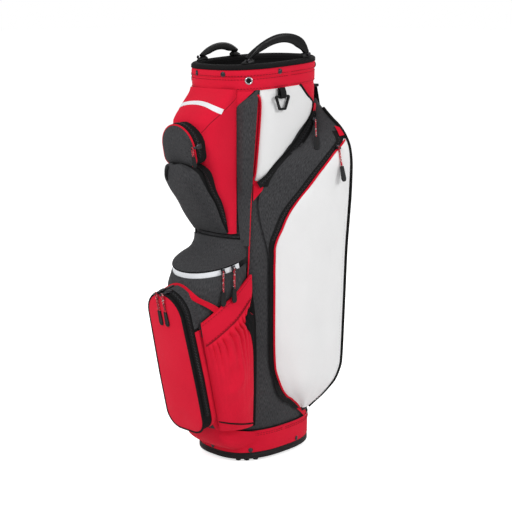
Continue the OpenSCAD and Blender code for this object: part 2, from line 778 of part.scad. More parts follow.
// a length of strap between two heights
module strap_run(z0, z1, width, thick, steps) {
    translate([strap_x + width / 2, 0, 0]) rotate([90, 0, -90]) linear_extrude(width) polygon(concat(
        [for (i = [0 : steps]) let (z = lerp(z0, z1, i / steps)) [-strap_y(z), z]],
        [for (i = [steps : -1 : 0]) let (z = lerp(z0, z1, i / steps)) [-strap_y(z) - thick, z]]));
}

module strap_pad() {
    color("#3c3c40") strap_run(469.3, up(730.7), pad_width, 12, 12);
}

module strap_webbing() {
    color("#17171a") {
        strap_run(340, 462.7, webbing_width, 3, 6);
        strap_run(up(737.3), up(786), webbing_width, 3, 4);
    }
}

module strap_hardware() {
    color("#101011") {
        strap_run(463, 469, webbing_width + 10, 8, 2);
        strap_run(up(731), up(737), webbing_width + 10, 8, 2);
        translate([strap_x - 22, long(332) + 9.6, 326]) cube([44, 11, 13.7]);
        translate([strap_x - 22, long(up(789)) + 0.7, up(786.3)]) cube([44, 18.8, 6]);
    }
}

base_tray();
foot_studs();
base_band();
base_rivets();
body_shell();
stay_rods();
back_pad();
top_cuff();
divider_bars();
divider_sheets();
handle_right();
handle_left();
handle_screws();
collar();
collar_snaps();
eyelets();
towel_loops();
towel_ring_right();
towel_ring_left();
upper_pocket();
slant_pocket();
valuables_box();
valuables_flap();
valuables_zip();
valuables_slider();
valuables_pull();
cooler_box();
cooler_lid();
cooler_zip();
cooler_slider_front();
cooler_slider_rear();
cooler_pull_front();
cooler_pull_rear();
front_housing();
ball_box();
ball_flap();
ball_zip();
ball_slider_right();
ball_slider_left();
ball_pull_right();
ball_pull_left();
bottle_pouches();
strap_sleeves();
upper_side_panels();
apparel_pockets();
apparel_faces();
side_zips();
upper_slider_right();
upper_slider_left();
lower_slider_right();
lower_slider_left();
upper_pull_right();
upper_pull_left();
lower_pull_right();
lower_pull_left();
strap_pad();
strap_webbing();
strap_hardware();
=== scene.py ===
"""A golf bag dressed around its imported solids: soft panels, pockets, zips, trims and hardware."""

import json
import math

import bpy
import numpy as np
from mathutils import Matrix, Vector, noise

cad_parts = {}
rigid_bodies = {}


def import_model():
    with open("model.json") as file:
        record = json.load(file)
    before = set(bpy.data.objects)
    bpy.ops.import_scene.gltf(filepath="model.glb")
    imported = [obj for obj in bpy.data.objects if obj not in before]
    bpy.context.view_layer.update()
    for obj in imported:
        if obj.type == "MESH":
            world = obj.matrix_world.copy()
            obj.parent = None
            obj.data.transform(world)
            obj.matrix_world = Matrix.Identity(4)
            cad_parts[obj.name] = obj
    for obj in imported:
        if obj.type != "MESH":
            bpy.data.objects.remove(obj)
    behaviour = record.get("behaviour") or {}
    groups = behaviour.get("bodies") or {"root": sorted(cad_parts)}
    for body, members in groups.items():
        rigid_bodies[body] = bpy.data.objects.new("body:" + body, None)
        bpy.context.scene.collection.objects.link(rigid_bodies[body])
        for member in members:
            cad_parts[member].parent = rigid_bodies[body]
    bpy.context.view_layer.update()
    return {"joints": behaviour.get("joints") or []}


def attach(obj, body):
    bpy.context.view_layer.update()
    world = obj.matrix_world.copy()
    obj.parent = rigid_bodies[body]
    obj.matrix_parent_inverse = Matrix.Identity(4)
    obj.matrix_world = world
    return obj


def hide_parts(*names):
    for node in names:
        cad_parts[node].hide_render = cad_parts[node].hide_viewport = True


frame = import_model()
joint_at = {j["name"]: Vector(j["pos_m"]) * 1000 for j in frame["joints"]}

# Sizes in millimetres, the same as in the part's source
MM = 0.001
RIM_HEIGHT = 852
TOP_HALF = (105, 124)
BASE_HALF = (93, 120)
OVAL = 2.6
RIM_ANGLE = math.radians(3.5)
RIM_TILT = math.tan(RIM_ANGLE)
BAND_BOTTOM, BAND_TOP = 20.4, 69.4
COLLAR_BOTTOM, LIP_BOTTOM = 796, 838
UPPER_REACH = [(498, 126), (564, 149), (597, 167), (645, 180), (700, 190.6), (725, 193), (737, 186),
               (752, 170), (770, 154), (790, 135), (800, 128)]
SLANT_REACH = [(498, 131), (512, 147), (540, 171), (567, 190), (600, 215), (620, 225), (640, 225)]
SLANT_HALF = [(498, 1.0), (557, 0.98), (595, 0.91), (612, 0.87), (625, 0.79), (633, 0.66), (640, 0.44),
              (644, 0.22), (645.5, 0.03)]
SLANT_TOP = 645.4
LOWER_REACH = [(71, 149), (90, 166.7), (345, 223.7), (375, 222)]
SIDE_FRONT = [(85, 24), (128, 2), (170, -9), (210, -15.5), (266, -17), (430, -18), (560, -32), (600, -26),
              (738, 39), (768, 46)]
SIDE_REAR = [(85, 34), (202, 65), (748, 65), (768, 60)]
CORNER_X = [(85, 96), (110, 113), (135, 132), (170, 151), (203, 157), (259, 160), (339, 163), (456, 168),
            (517, 173), (580, 178), (628, 179), (664, 175), (688, 164), (706, 148), (719, 129), (748, 92),
            (768, 74)]
CORNER_Y = [(85, 52), (135, 84), (170, 100), (203, 108), (748, 108), (768, 104)]
SIDE_SWELL = [(85, 2), (180, 14), (300, 18), (600, 18), (700, 8), (768, 3)]
BALL_TILT, BALL_ORIGIN, BALL_LENGTH, BALL_RADIUS, BALL_DEPTH = 12.6, Vector((0, -166.4, 87)), 262, 50, 26
VALUABLES_TILT, VALUABLES_ORIGIN, VALUABLES_LENGTH = 11, Vector((0, -181, 648)), 36
VALUABLES_RADIUS, VALUABLES_DEPTH = 46, 22
FLAP_THICK = 5
COOLER_CENTRE, COOLER_RADIUS, COOLER_TILT, COOLER_STRIP = Vector((0, -125, 436)), 82, 15, 12
COOLER_FOOT, COOLER_REACH, COOLER_HINGE = 376.4, 95, 484
STRAP_X, PAD_WIDTH, PAD_THICK, WEBBING_WIDTH = 34, 56, 12, 38
PULL_LENGTH, SHORT_PULL, CORD_RADIUS = 70, 38, 1.2
TOWEL_PIN = Vector((TOP_HALF[0] + 9, -31, RIM_HEIGHT - 74))
# The pale side face's front edge, as a share of the side pocket by height, and the zip band beside it
FACE_FRONT = [(100, 0.08), (150, 0.03), (420, 0.03), (460, 0.05), (480, 0.09), (502, 0.165), (541, 0.28),
              (586, 0.44), (629, 0.575), (663, 0.74), (682, 0.92)]
FACE_EDGE = 0.02
BAND_WIDE = [(96, 17), (150, 14), (190, 10), (430, 10), (520, 16), (700, 17)]
ZIP_LINE = 0.45
# Edges on the tube, as angles by height
SLEEVE_LEFT = [(471, -53), (512, -56), (578, -58), (650, -58.5), (735, -59.5), (758, -58), (776, -48),
               (797, -36)]
SLEEVE_RIGHT = [(471, -43), (548, -42), (591, -40.2), (626, -39.2), (707, -36.5), (780, -34), (797, -33)]
SLOT_EDGE = [(600, -38.4), (613, -37.6), (626, -35.5), (691, -32.3), (751, -30.3), (776, -31), (786, -33.5)]
WHITE_EDGE = [(604, -33), (624, -20), (659, -4.8), (703, 8.5), (735, 31), (750, 39), (757, 38), (774, 20),
              (797, 8)]
SIDES = ((1, "right"), (-1, "left"))
UP = Vector((0, 0, 1))


# Curves and surfaces of the bag
def lerp(a, b, f):
    return a + (b - a) * f


def spow(v, p):
    return math.copysign(abs(v) ** p, v)


def clamp01(v):
    return max(0.0, min(1.0, v))


def ease(v):
    c = clamp01(v)
    return c * c * (3 - 2 * c)


def spread(low, high, count):
    return [lerp(low, high, i / count) for i in range(count + 1)]


def lookup(x, table):
    """A smooth curve through a table, which never overshoots the table's values."""
    if x <= table[0][0]:
        return table[0][1]
    if x >= table[-1][0]:
        return table[-1][1]
    k = max(i for i in range(len(table) - 1) if table[i][0] <= x)
    slopes = [(b[1] - a[1]) / (b[0] - a[0]) for a, b in zip(table, table[1:])]

    def tangent(i):
        if i in (0, len(slopes)):
            return slopes[min(i, len(slopes) - 1)]
        a, b = slopes[i - 1], slopes[i]
        return 0 if a * b <= 0 else 2 * a * b / (a + b)

    (x0, y0), (x1, y1) = table[k], table[k + 1]
    h = x1 - x0
    s = (x - x0) / h
    return (y0 * (1 + 2 * s) * (1 - s) ** 2 + tangent(k) * h * s * (1 - s) ** 2
            + y1 * s * s * (3 - 2 * s) + tangent(k + 1) * h * s * s * (s - 1))


def lift(x, y, z):
    """The top of the bag follows the tilted rim."""
    return Vector((x, y, z + y * RIM_TILT * clamp01((z - RIM_HEIGHT + 96) / 36)))


def crease(p, size, depth):
    """A soft random fold of the cloth."""
    return depth * noise.noise(p / size)


def tube_flat(t, z, off=0):
    a = math.radians(t)
    x = (lerp(BASE_HALF[0], TOP_HALF[0], z / RIM_HEIGHT) + off) * spow(math.cos(a), 2 / OVAL)
    y = (lerp(BASE_HALF[1], TOP_HALF[1], z / RIM_HEIGHT) + off) * spow(math.sin(a), 2 / OVAL)
    return Vector((x, y, z))


def tube(t, z, off=0):
    """A point on the tube's outside, at an angle and a height, some way out."""
    return lift(*tube_flat(t, z, off))


def tube_normal(t, z, off):
    """The level direction out of the tube."""
    n = tube(t, z, off + 5) - tube(t, z, off)
    n.z = 0
    return n.normalized()


def bow(f, z, reach, square, out=0):
    """A pocket that bows out in front, f from -1 at its left root to 1 at its right root."""
    e = tube_flat(-60, z, 3)
    a = math.radians(90 * f)
    side = e.x * spow(math.sin(a), 2 / square)
    front = e.y - (lookup(z, reach) + out + e.y) * abs(math.cos(a)) ** (2 / square)
    return lift(side, front, z)


def side_face(f, z, off=0):
    """The right side pocket, f from 0 at its front edge to 1 at its outer corner."""
    e = tube_flat(lookup(z, SIDE_FRONT), z, 3)
    d = Vector((lookup(z, CORNER_X), lookup(z, CORNER_Y), z)) - e
    n = Vector((d.y, -d.x, 0)) / max(1, d.length)
    swell = lookup(z, SIDE_SWELL) * abs(math.sin(math.pi * f)) ** 0.8
    calm = clamp01(min(6 * f, 6 - 6 * f, (z - 88) / 60, (762 - z) / 60))
    return lift(*(e + d * f + n * (swell + off + crease(e + d * f, 65, 2.4) * calm)))


def side_point(g, z):
    """The same pocket round its corner, g from 0 over 1 at the corner to 2 at the rear edge."""
    if g <= 1:
        return side_face(g, z)
    rear = tube(lookup(z, SIDE_REAR), z, 3)
    return lerp(side_face(1, z), rear, g - 1) + Vector((0, 6 * math.sin(math.pi * (g - 1)), 0))


def cooler_ring(f, radius, up):
    """The tilted ring of the cooler pocket, f from -1 to 1."""
    a = math.radians(90 * f)
    t = math.radians(COOLER_TILT)
    reach = radius * math.cos(a)
    return COOLER_CENTRE + Vector((radius * math.sin(a), -reach * math.cos(t), up - reach * math.sin(t)))


def pouch(f, r, off=0):
    """The right bottle pouch, f across from its front seam and r up from its bottom."""
    z = lerp(84, lerp(322, 402, f) + 14 * ease((f - 0.55) / 0.45), r)
    front = Vector((59, BALL_ORIGIN.y - (z - BALL_ORIGIN.z) * math.tan(math.radians(BALL_TILT)) + 8, z))
    d = tube_flat(-38, z, 3.6) - front
    n = Vector((d.y, -d.x, 0)) / d.length
    swell = (8 + 18 * math.sin(math.pi * r ** 0.8)) * abs(math.sin(math.pi * f)) ** 0.7
    return front + d * f + n * (swell + off)


def tube_back(z):
    return lerp(BASE_HALF[1], TOP_HALF[1], z / RIM_HEIGHT)


def strap_y(z):
    """The shoulder strap hangs away from the back between its two ends."""
    return tube_back(z) + 16.3 + 36 * math.sin(math.pi * clamp01((z - 340) / 446))


def circle3(p, q, r):
    """The circle through three points: centre, two axes in its plane and the last point's angle."""
    u, v = q - p, r - p
    n = u.cross(v)
    c = p + (n.cross(u) * v.dot(v) + v.cross(n) * u.dot(u)) / (2 * n.dot(n))
    ex = (p - c).normalized()
    ey = n.normalized().cross(ex)
    return c, ex * (p - c).length, ey * (p - c).length, math.atan2((r - c).dot(ey), (r - c).dot(ex))


UPPER_ZIP = circle3(tube(-30, 602, 9), tube(2, 668, 9), tube(32, 734, 10))


def tilted(origin, degrees):
    """A pocket's own frame: X right, Y up its face, Z out of it."""
    t = math.radians(degrees)
    return lambda x, y, z: origin + Vector((x, -y * math.sin(t) - z * math.cos(t),
                                            y * math.cos(t) - z * math.sin(t)))


ball_at = tilted(BALL_ORIGIN, BALL_TILT)
valuables_at = tilted(VALUABLES_ORIGIN, VALUABLES_TILT)


def heading(degrees):
    """A level direction, turned from straight ahead towards the right."""
    return Vector((math.sin(math.radians(degrees)), -math.cos(math.radians(degrees)), 0))


def mirrored(p, side):
    return Vector((p.x * side, p.y, p.z))


# Tracks that trims follow, as pairs of a point and the direction out of the cloth
def lengths(points):
    """How far along a line of points each of them is."""
    steps = np.linalg.norm(np.diff(np.array(points, float), axis=0), axis=1)
    return np.concatenate([[0], np.cumsum(steps)])


def even(points, count):
    """Points spread evenly along a line of points."""
    p = np.array(points, float)
    run = lengths(p)
    steps = np.linspace(0, run[-1], count + 1)
    return [Vector([np.interp(s, run, p[:, k]) for k in range(3)]) for s in steps]


def out_of(surface, u, v, du, dv):
    p = surface(u, v)
    n = (surface(u + du, v) - surface(u - du, v)).cross(surface(u, v + dv) - surface(u, v - dv))
    return n.normalized() if n.dot(Vector((p.x, p.y, 0))) > 0 else -n.normalized()


def trace(surface, knots, count, du, dv=1.0, rise=0.0):
    """A track on a surface along a smooth curve through pairs of its own coordinates."""
    k = [Vector((a, b, 0)) for a, b in knots]
    k = [k[0] * 2 - k[1], *k, k[-1] * 2 - k[-2]]
    fine = []
    for a, b, c, d in zip(k, k[1:], k[2:], k[3:]):
        for s in spread(0, 0.95, 19):
            fine.append(((b * 2) + (c - a) * s + (a * 2 - b * 5 + c * 4 - d) * s * s
                         + (b * 3 - a - c * 3 + d) * s ** 3) / 2)
    fine.append(k[-2])
    run = lengths([surface(q.x, q.y) for q in fine])
    track = []
    for s in np.linspace(0, run[-1], count + 1):
        u, v = (float(np.interp(s, run, [q[i] for q in fine])) for i in (0, 1))
        n = out_of(surface, u, v, du, dv)
        track.append((surface(u, v) + n * rise, n))
    return track


def lifted(track, rise):
    return [(p + n * rise, n) for p, n in track]


def marks(track, pitch, parts=1):
    """Points and directions spaced along a track, some parts to a pitch."""
    points = [p for p, _ in track]
    total = sum((b - a).length for a, b in zip(points, points[1:]))
    count = max(1, int(total / pitch)) * parts
    return even(points, count), [n.normalized() for n in even([n for _, n in track], count)]


def both_sides(track):
    """The track on the right and the same one on the left."""
    left = [(mirrored(p, -1), mirrored(n, -1)) for p, n in track]
    return [track, left]


def round_section(radius, sides=8):
    return [(radius * math.cos(2 * math.pi * i / sides), radius * math.sin(2 * math.pi * i / sides))
            for i in range(sides)]


def tape_section(width, thick):
    """A flat tape with rounded edges, lying on the cloth."""
    w, e = width / 2, min(thick / 2, width / 6)
    return [(-w + e, 0), (w - e, 0), (w, thick / 2), (w - e, thick), (0, thick * 1.08), (-w + e, thick),
            (-w, thick / 2)]


# Building a piece
class Patchwork:
    """Faces gathered from panels, strips and copies into one piece, in millimetres."""

    def __init__(self):
        self.points = []
        self.faces = []
        self.maps = []

    def grid(self, rows, wrap=False, core=None):
        """A panel through rows of points, turned to face away from its core or the bag's middle."""
        p = np.array([[tuple(q) for q in r] for r in rows], float)
        high, across = p.shape[:2]
        ring = np.concatenate([p[high // 2], p[high // 2][:1]]) if wrap else p[high // 2]
        u = lengths(ring) * MM
        v = lengths(p[:, across // 2]) * MM
        middle = np.array(core if core is not None else (0, 0, 0), float)
        outward = 0.0
        quads = []
        for r in range(high - 1):
            for c in range(across if wrap else across - 1):
                d = (c + 1) % across
                quads.append(((r, c, c), (r, d, c + 1), (r + 1, d, c + 1), (r + 1, c, c)))
                n = np.cross(p[r + 1, d] - p[r, c], p[r + 1, c] - p[r, d])
                away = p[r, c] - middle
                if core is None:
                    away[2] = 0
                outward += float(n @ away)
        base = len(self.points)
        self.points += [tuple(q) for r in p for q in r]
        for q in quads:
            q = q if outward < 0 else q[::-1]
            self.faces.append([base + a * across + b for a, b, _ in q])
            self.maps.append([(u[c], v[a]) for a, _, c in q])
        return self

    def strip(self, track, section, closed=False):
        """A section carried along a track."""
        base, n = len(self.points), len(section)
        count = len(track)
        run = 0.0
        girth = [0.0]
        for (a, b), (c, d) in zip(section, section[1:] + section[:1]):
            girth.append(girth[-1] + math.hypot(c - a, d - b) * MM)
        along = []
        for i, (p, up) in enumerate(track):
            before = track[i - 1][0] if closed or i else p
            after = track[(i + 1) % count][0] if closed or i < count - 1 else p
            ahead = (after - before).normalized()
            side = ahead.cross(up).normalized()
            out = side.cross(ahead)
            self.points += [tuple(p + side * a + out * b) for a, b in section]
            along.append(run)
            run += (after - p).length * MM
        along.append(run)
        for i in range(count if closed else count - 1):
            k = (i + 1) % count
            for j in range(n):
                m = (j + 1) % n
                self.faces.append([base + i * n + j, base + k * n + j, base + k * n + m, base + i * n + m])
                self.maps.append([(girth[j], along[i]), (girth[j], along[i + 1]),
                                  (girth[j + 1], along[i + 1]), (girth[j + 1], along[i])])
        if not closed:
            ends = [[base + j for j in range(n)], [base + (count - 1) * n + j for j in reversed(range(n))]]
            self.faces += ends
            self.maps += [[(girth[j], 0) for j in range(n)], [(girth[j], 0) for j in range(n)]]
        return self

    def stitches(self, track, length=4.2, space=2.6, radius=0.55):
        """A run of sewn thread along a track."""
        fine, outs = marks(track, length + space, 2)
        for a, b, n in list(zip(fine, fine[1:], outs))[::2]:
            half = (b - a) * (length / (length + space))
            run = [(a + n * 0.1, n), (a + half + n * 0.5, n), (a + half * 2 + n * 0.1, n)]
            self.strip(run, round_section(radius, 4))
        return self

    def teeth(self, track, pitch=3.4):
        """The teeth of a zip along a track."""
        tooth = [(-1.1, 0), (1.1, 0), (0.8, 1.5), (-0.8, 1.5)]
        fine, outs = marks(track, pitch)
        for i, (a, b, n) in enumerate(zip(fine, fine[1:], outs)):
            side = (b - a).normalized().cross(n).normalized()
            c = a + side * (0.9 if i % 2 else -0.9)
            self.strip([(c - side * 1.9, n), (c + side * 1.9, n)], tooth)
        return self

    def copy(self, mesh, place):
        """A modelled shape, copied to a place."""
        base = len(self.points)
        self.points += [tuple(place @ (v.co / MM)) for v in mesh.vertices]
        turned = place.to_3x3().determinant() < 0
        for f in mesh.polygons:
            corners = [base + v for v in f.vertices]
            self.faces.append(corners[::-1] if turned else corners)
            self.maps.append([(0, 0)] * len(f.vertices))
        return self

    def piece(self, name, finish, thick=0.0, angle=40):
        """The finished piece, with its wall thickness and smooth shading."""
        mesh = bpy.data.meshes.new(name)
        mesh.from_pydata([Vector(p) * MM for p in self.points], [], self.faces)
        coords = mesh.uv_layers.new(name="cloth")
        coords.data.foreach_set("uv", [x for m in self.maps for spot in m for x in spot])
        obj = bpy.data.objects.new(name, mesh)
        bpy.context.scene.collection.objects.link(obj)
        mesh.materials.append(finish)
        if thick:
            wall = obj.modifiers.new("wall", "SOLIDIFY")
            wall.thickness = thick * MM
            wall.offset = -1
            finish_with(obj, wall)
        soften(obj, angle)
        return obj


def only(obj):
    bpy.ops.object.select_all(action="DESELECT")
    obj.select_set(True)
    bpy.context.view_layer.objects.active = obj


def finish_with(obj, modifier):
    only(obj)
    bpy.ops.object.modifier_apply(modifier=modifier.name)


def soften(obj, angle=40):
    only(obj)
    bpy.ops.object.shade_smooth_by_angle(angle=math.radians(angle))


def face_out():
    """Turns all faces outwards, in edit mode."""
    bpy.ops.mesh.select_all(action="SELECT")
    bpy.ops.mesh.normals_make_consistent(inside=False)


def mend(obj, join=0.0, fill=0):
    """Joins points closer than a distance, fills holes of up to some sides and turns the faces outwards."""
    only(obj)
    bpy.ops.object.mode_set(mode="EDIT")
    bpy.ops.mesh.select_all(action="SELECT")
    if join:
        bpy.ops.mesh.remove_doubles(threshold=join * MM)
    if fill:
        bpy.ops.mesh.fill_holes(sides=fill)
    face_out()
    bpy.ops.object.mode_set(mode="OBJECT")


def settle(obj, body="bag", stands_for=()):
    """The piece rides on a body and may stand for a solid."""
    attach(obj, body)
    if stands_for:
        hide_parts(stands_for)
    return obj


PUFF_STEPS = 18


def inflate(obj, held, pressure, cap):
    """Blows up a padded piece like cloth that is held at some of its points, each point up to a cap."""
    group = obj.vertex_groups.new(name="held")
    group.add(held, 1.0, "REPLACE")
    before = [v.co.copy() for v in obj.data.vertices]
    puff = obj.modifiers.new("puff", "CLOTH")
    stuff = puff.settings
    stuff.quality = 6
    stuff.mass = 0.25
    stuff.tension_stiffness = stuff.compression_stiffness = 25
    stuff.bending_stiffness = 2
    stuff.use_pressure = True
    stuff.uniform_pressure_force = pressure
    stuff.effector_weights.gravity = 0
    stuff.vertex_group_mass = "held"
    puff.point_cache.frame_start = 1
    puff.point_cache.frame_end = PUFF_STEPS
    for step in range(1, PUFF_STEPS + 1):
        bpy.context.scene.frame_set(step)
    finish_with(obj, puff)
    bpy.context.scene.frame_set(1)
    for v, old in zip(obj.data.vertices, before):
        move = v.co - old
        if move.length > cap * MM:
            v.co = old + move * (cap * MM / move.length)
    obj.vertex_groups.clear()


# Pieces of one kind: cloth through rows of points, a trim, a seam, a zip's teeth, copies of a shape
def cloth_piece(name, rows, finish, thick, node=(), core=None, body="bag"):
    return settle(Patchwork().grid(rows, core=core).piece(name, finish, thick), body, node)


def trim_piece(name, tracks, section, finish, node=(), body="bag", closed=False):
    work = Patchwork()
    for track in tracks:
        work.strip(track, section, closed)
    return settle(work.piece(name, finish), body, node)


def seam_piece(name, tracks, finish, length=4.2, space=2.6):
    work = Patchwork()
    for track in tracks:
        work.stitches(track, length, space)
    settle(work.piece(name, finish))


def teeth_piece(name, tracks, node=()):
    work = Patchwork()
    for track in tracks:
        work.teeth(track)
    settle(work.piece(name, TEETH), stands_for=node)


def copies_piece(name, copies, finish, node=(), angle=40):
    """Copies of modelled shapes, as pairs of a shape and its place."""
    work = Patchwork()
    for mesh, where in copies:
        work.copy(mesh, where)
    settle(work.piece(name, finish, angle=angle), stands_for=node)


def pair(name, rows, finish, thick, node=(), core=None):
    """A panel on the right and its mirrored copy on the left."""
    for side, word in SIDES:
        here = [[mirrored(p, side) for p in r] for r in rows]
        middle = mirrored(Vector(core), side) if core else None
        cloth_piece(f"{name}_{word}", here, finish, thick, node if side > 0 else (), middle)


# Modelling by hand: a primitive, shaped in edit mode
def start(kind, **size):
    bpy.ops.object.select_all(action="DESELECT")
    getattr(bpy.ops.mesh, f"primitive_{kind}_add")(**size)
    return bpy.context.active_object


def choose(obj, test):
    """Selects the faces whose middle and normal pass a test, in edit mode."""
    bpy.ops.object.mode_set(mode="OBJECT")
    bpy.context.tool_settings.mesh_select_mode = (False, False, True)
    for part in (obj.data.vertices, obj.data.edges):
        part.foreach_set("select", [False] * len(part))
    obj.data.polygons.foreach_set("select", [bool(test(f.center / MM, f.normal)) for f in obj.data.polygons])
    bpy.ops.object.mode_set(mode="EDIT")


def every(c, n):
    return True


def facing(x=0, y=0, z=0):
    """A test for the faces that look along an axis."""
    return lambda c, n: n.x * x + n.y * y + n.z * z > 0.9


def shift(x, y, z):
    bpy.ops.transform.translate(value=(x * MM, y * MM, z * MM))


def grow(x, y, z, centre=(0, 0, 0)):
    bpy.ops.transform.resize(value=(x, y, z), center_override=[c * MM for c in centre])


def extrude(x, y, z):
    bpy.ops.mesh.extrude_region_move(TRANSFORM_OT_translate={"value": (x * MM, y * MM, z * MM)})


def inset(thick):
    bpy.ops.mesh.inset(thickness=thick * MM)


def press(*steps):
    """Insets the chosen faces and moves them up, step by step."""
    for inward, up in steps:
        inset(inward)
        shift(0, 0, up)


def block(size, at=(0, 0, 0)):
    """A cube stretched to a size and moved to a place."""
    obj = start("cube", size=1)
    choose(obj, every)
    grow(*(s * MM for s in size))
    shift(*at)
    return obj


def disc(radius, height, sides=24):
    """A flat cylinder that stands on the floor."""
    return start("cylinder", vertices=sides, radius=radius * MM, depth=height * MM,
                 location=(0, 0, height / 2 * MM))


def done(obj, edge, segments=2):
    """Leaves edit mode, puts the place in the mesh and rounds the edges."""
    bpy.ops.object.mode_set(mode="OBJECT")
    only(obj)
    bpy.ops.object.transform_apply(location=True, rotation=True, scale=True)
    rounding = obj.modifiers.new("edge", "BEVEL")
    rounding.width = edge * MM
    rounding.segments = segments
    rounding.limit_method = "ANGLE"
    rounding.angle_limit = math.radians(35)
    finish_with(obj, rounding)
    return obj


def joined(parts):
    """Some modelled shapes as one."""
    only(parts[0])
    for part in parts[1:]:
        part.select_set(True)
    bpy.ops.object.join()
    return parts[0]


def named(obj, name, finish, angle=40):
    """A modelled shape that is a piece of its own."""
    obj.name = name
    obj.data.materials.append(finish)
    soften(obj, angle)
    return obj


def spare(obj):
    """A modelled shape that is only copied: its mesh, without the object."""
    mesh = obj.data
    bpy.data.objects.remove(obj)
    return mesh


def place(at, out, up):
    """A turn and a move that puts a shape's Z along out and its Y near up, in millimetres."""
    z = out.normalized()
    x = up.cross(z).normalized()
    y = z.cross(x)
    turn = Matrix((x, y, z)).transposed().to_4x4()
    return Matrix.Translation(at) @ turn


def srgb(r, g, b):
    def linear(c):
        c /= 255
        return c / 12.92 if c <= 0.04045 else ((c + 0.055) / 1.055) ** 2.4
    return (linear(r), linear(g), linear(b), 1)


class Finish:
    """A material being put together from its nodes."""

    def __init__(self, name, slot=None):
        self.material = bpy.data.materials.new(name)
        self.material.use_nodes = True
        self.tree = self.material.node_tree
        self.shader = self.tree.nodes["Principled BSDF"]

    def node(self, kind, inputs=(), **settings):
        n = self.tree.nodes.new(kind)
        for key, value in settings.items():
            setattr(n, key, value)
        for socket, value in dict(inputs).items():
            self.put(n.inputs[socket], value)
        return n

    def put(self, socket, value):
        if isinstance(value, bpy.types.NodeSocket):
            self.tree.links.new(value, socket)
        else:
            socket.default_value = value

    def shade(self, **values):
        for key, value in values.items():
            self.put(self.shader.inputs[key.replace("_", " ")], value)
        return self.material

    def coords(self, kind, stretch=(1, 1, 1)):
        where = self.node("ShaderNodeTexCoord").outputs[kind]
        return self.node("ShaderNodeMapping", {"Vector": where, "Scale": stretch}).outputs["Vector"]

    def noise(self, where, scale, detail=3.0):
        inputs = {"Vector": where, "Scale": scale, "Detail": detail}
        return self.node("ShaderNodeTexNoise", inputs).outputs["Fac"]

    def wave(self, where, scale, axis):
        inputs = {"Vector": where, "Scale": scale}
        return self.node("ShaderNodeTexWave", inputs, bands_direction=axis).outputs["Fac"]

    def maths(self, kind, a, b):
        return self.node("ShaderNodeMath", {0: a, 1: b}, operation=kind).outputs[0]

    def band(self, value, low, high, out_low=0.0, out_high=1.0):
        return self.node("ShaderNodeMapRange", {"Value": value, "From Min": low, "From Max": high,
                                                "To Min": out_low, "To Max": out_high}).outputs[0]

    def mix(self, amount, a, b):
        n = self.node("ShaderNodeMix", data_type="RGBA")
        self.put(n.inputs[0], amount)
        self.put(n.inputs[6], a)
        self.put(n.inputs[7], b)
        return n.outputs[2]

    def bump(self, height, strength, distance):
        return self.node("ShaderNodeBump", {"Height": height, "Strength": strength,
                                            "Distance": distance}).outputs["Normal"]


def threads(width):
    """The scale of a wave that makes threads of a width in millimetres."""
    return math.pi / (10 * width * MM)


def cloth(name, slot, colour, deep, thread=1.1, heather=0.25, sheen=0.25, rough=0.8, relief=0.5):
    """Woven cloth: crossing threads, mixed yarns, soft worn patches and a sheen."""
    m = Finish(name, slot)
    uv = m.coords("UV")
    weave = m.maths("MULTIPLY", m.wave(uv, threads(thread), "X"), m.wave(uv, threads(thread), "Y"))
    yarn = m.noise(m.coords("UV", (900, 140, 1)), 1.0, 2)
    worn = m.noise(m.coords("Object"), 9.0, 4)
    fold = m.noise(m.coords("Object"), 60.0, 3)
    tone = m.mix(m.band(yarn, 0.35, 0.65, 0, heather), colour, deep)
    tone = m.mix(m.band(weave, 0, 1, 0.28, 0.0), tone, deep)
    tone = m.mix(m.band(worn, 0.35, 0.7, 0, 0.22), tone, deep)
    height = m.maths("ADD", m.maths("MULTIPLY", weave, 0.5), m.maths("MULTIPLY", fold, 1.5))
    return m.shade(Base_Color=tone, Roughness=m.band(worn, 0.3, 0.7, rough - 0.06, rough + 0.08),
                   Sheen_Weight=sheen, Sheen_Roughness=0.5, Specular_IOR_Level=0.16,
                   Normal=m.bump(height, relief, 0.0006))


def moulding(name, slot, colour, rough, grain=900.0, relief=0.25, metallic=0.0):
    """Moulded or pressed stuff: fine grain, uneven gloss and rubbed patches."""
    m = Finish(name, slot)
    where = m.coords("Object")
    fine = m.noise(where, grain, 2)
    wear = m.noise(where, 26.0, 5)
    pale = tuple(min(1, c * 1.6 + 0.01) for c in colour[:3]) + (1,)
    return m.shade(Base_Color=m.mix(m.band(wear, 0.5, 0.75, 0, 0.35), colour, pale), Metallic=metallic,
                   Roughness=m.band(wear, 0.3, 0.75, rough - 0.08, rough + 0.12),
                   Normal=m.bump(fine, relief, 0.0003), Specular_IOR_Level=0.5 if metallic else 0.22)


def webbing_finish(name, slot, colour, deep):
    """Flat woven strap with ribs across it."""
    m = Finish(name, slot)
    uv = m.coords("UV")
    weave = m.maths("MULTIPLY", m.wave(uv, threads(1.8), "Y"), m.wave(uv, threads(2.6), "X"))
    wear = m.noise(m.coords("Object"), 30.0, 4)
    tone = m.mix(m.band(weave, 0, 1, 0.7, 0), colour, deep)
    return m.shade(Base_Color=m.mix(m.band(wear, 0.45, 0.75, 0, 0.3), tone, deep), Roughness=0.7,
                   Specular_IOR_Level=0.2, Normal=m.bump(weave, 0.6, 0.0005))


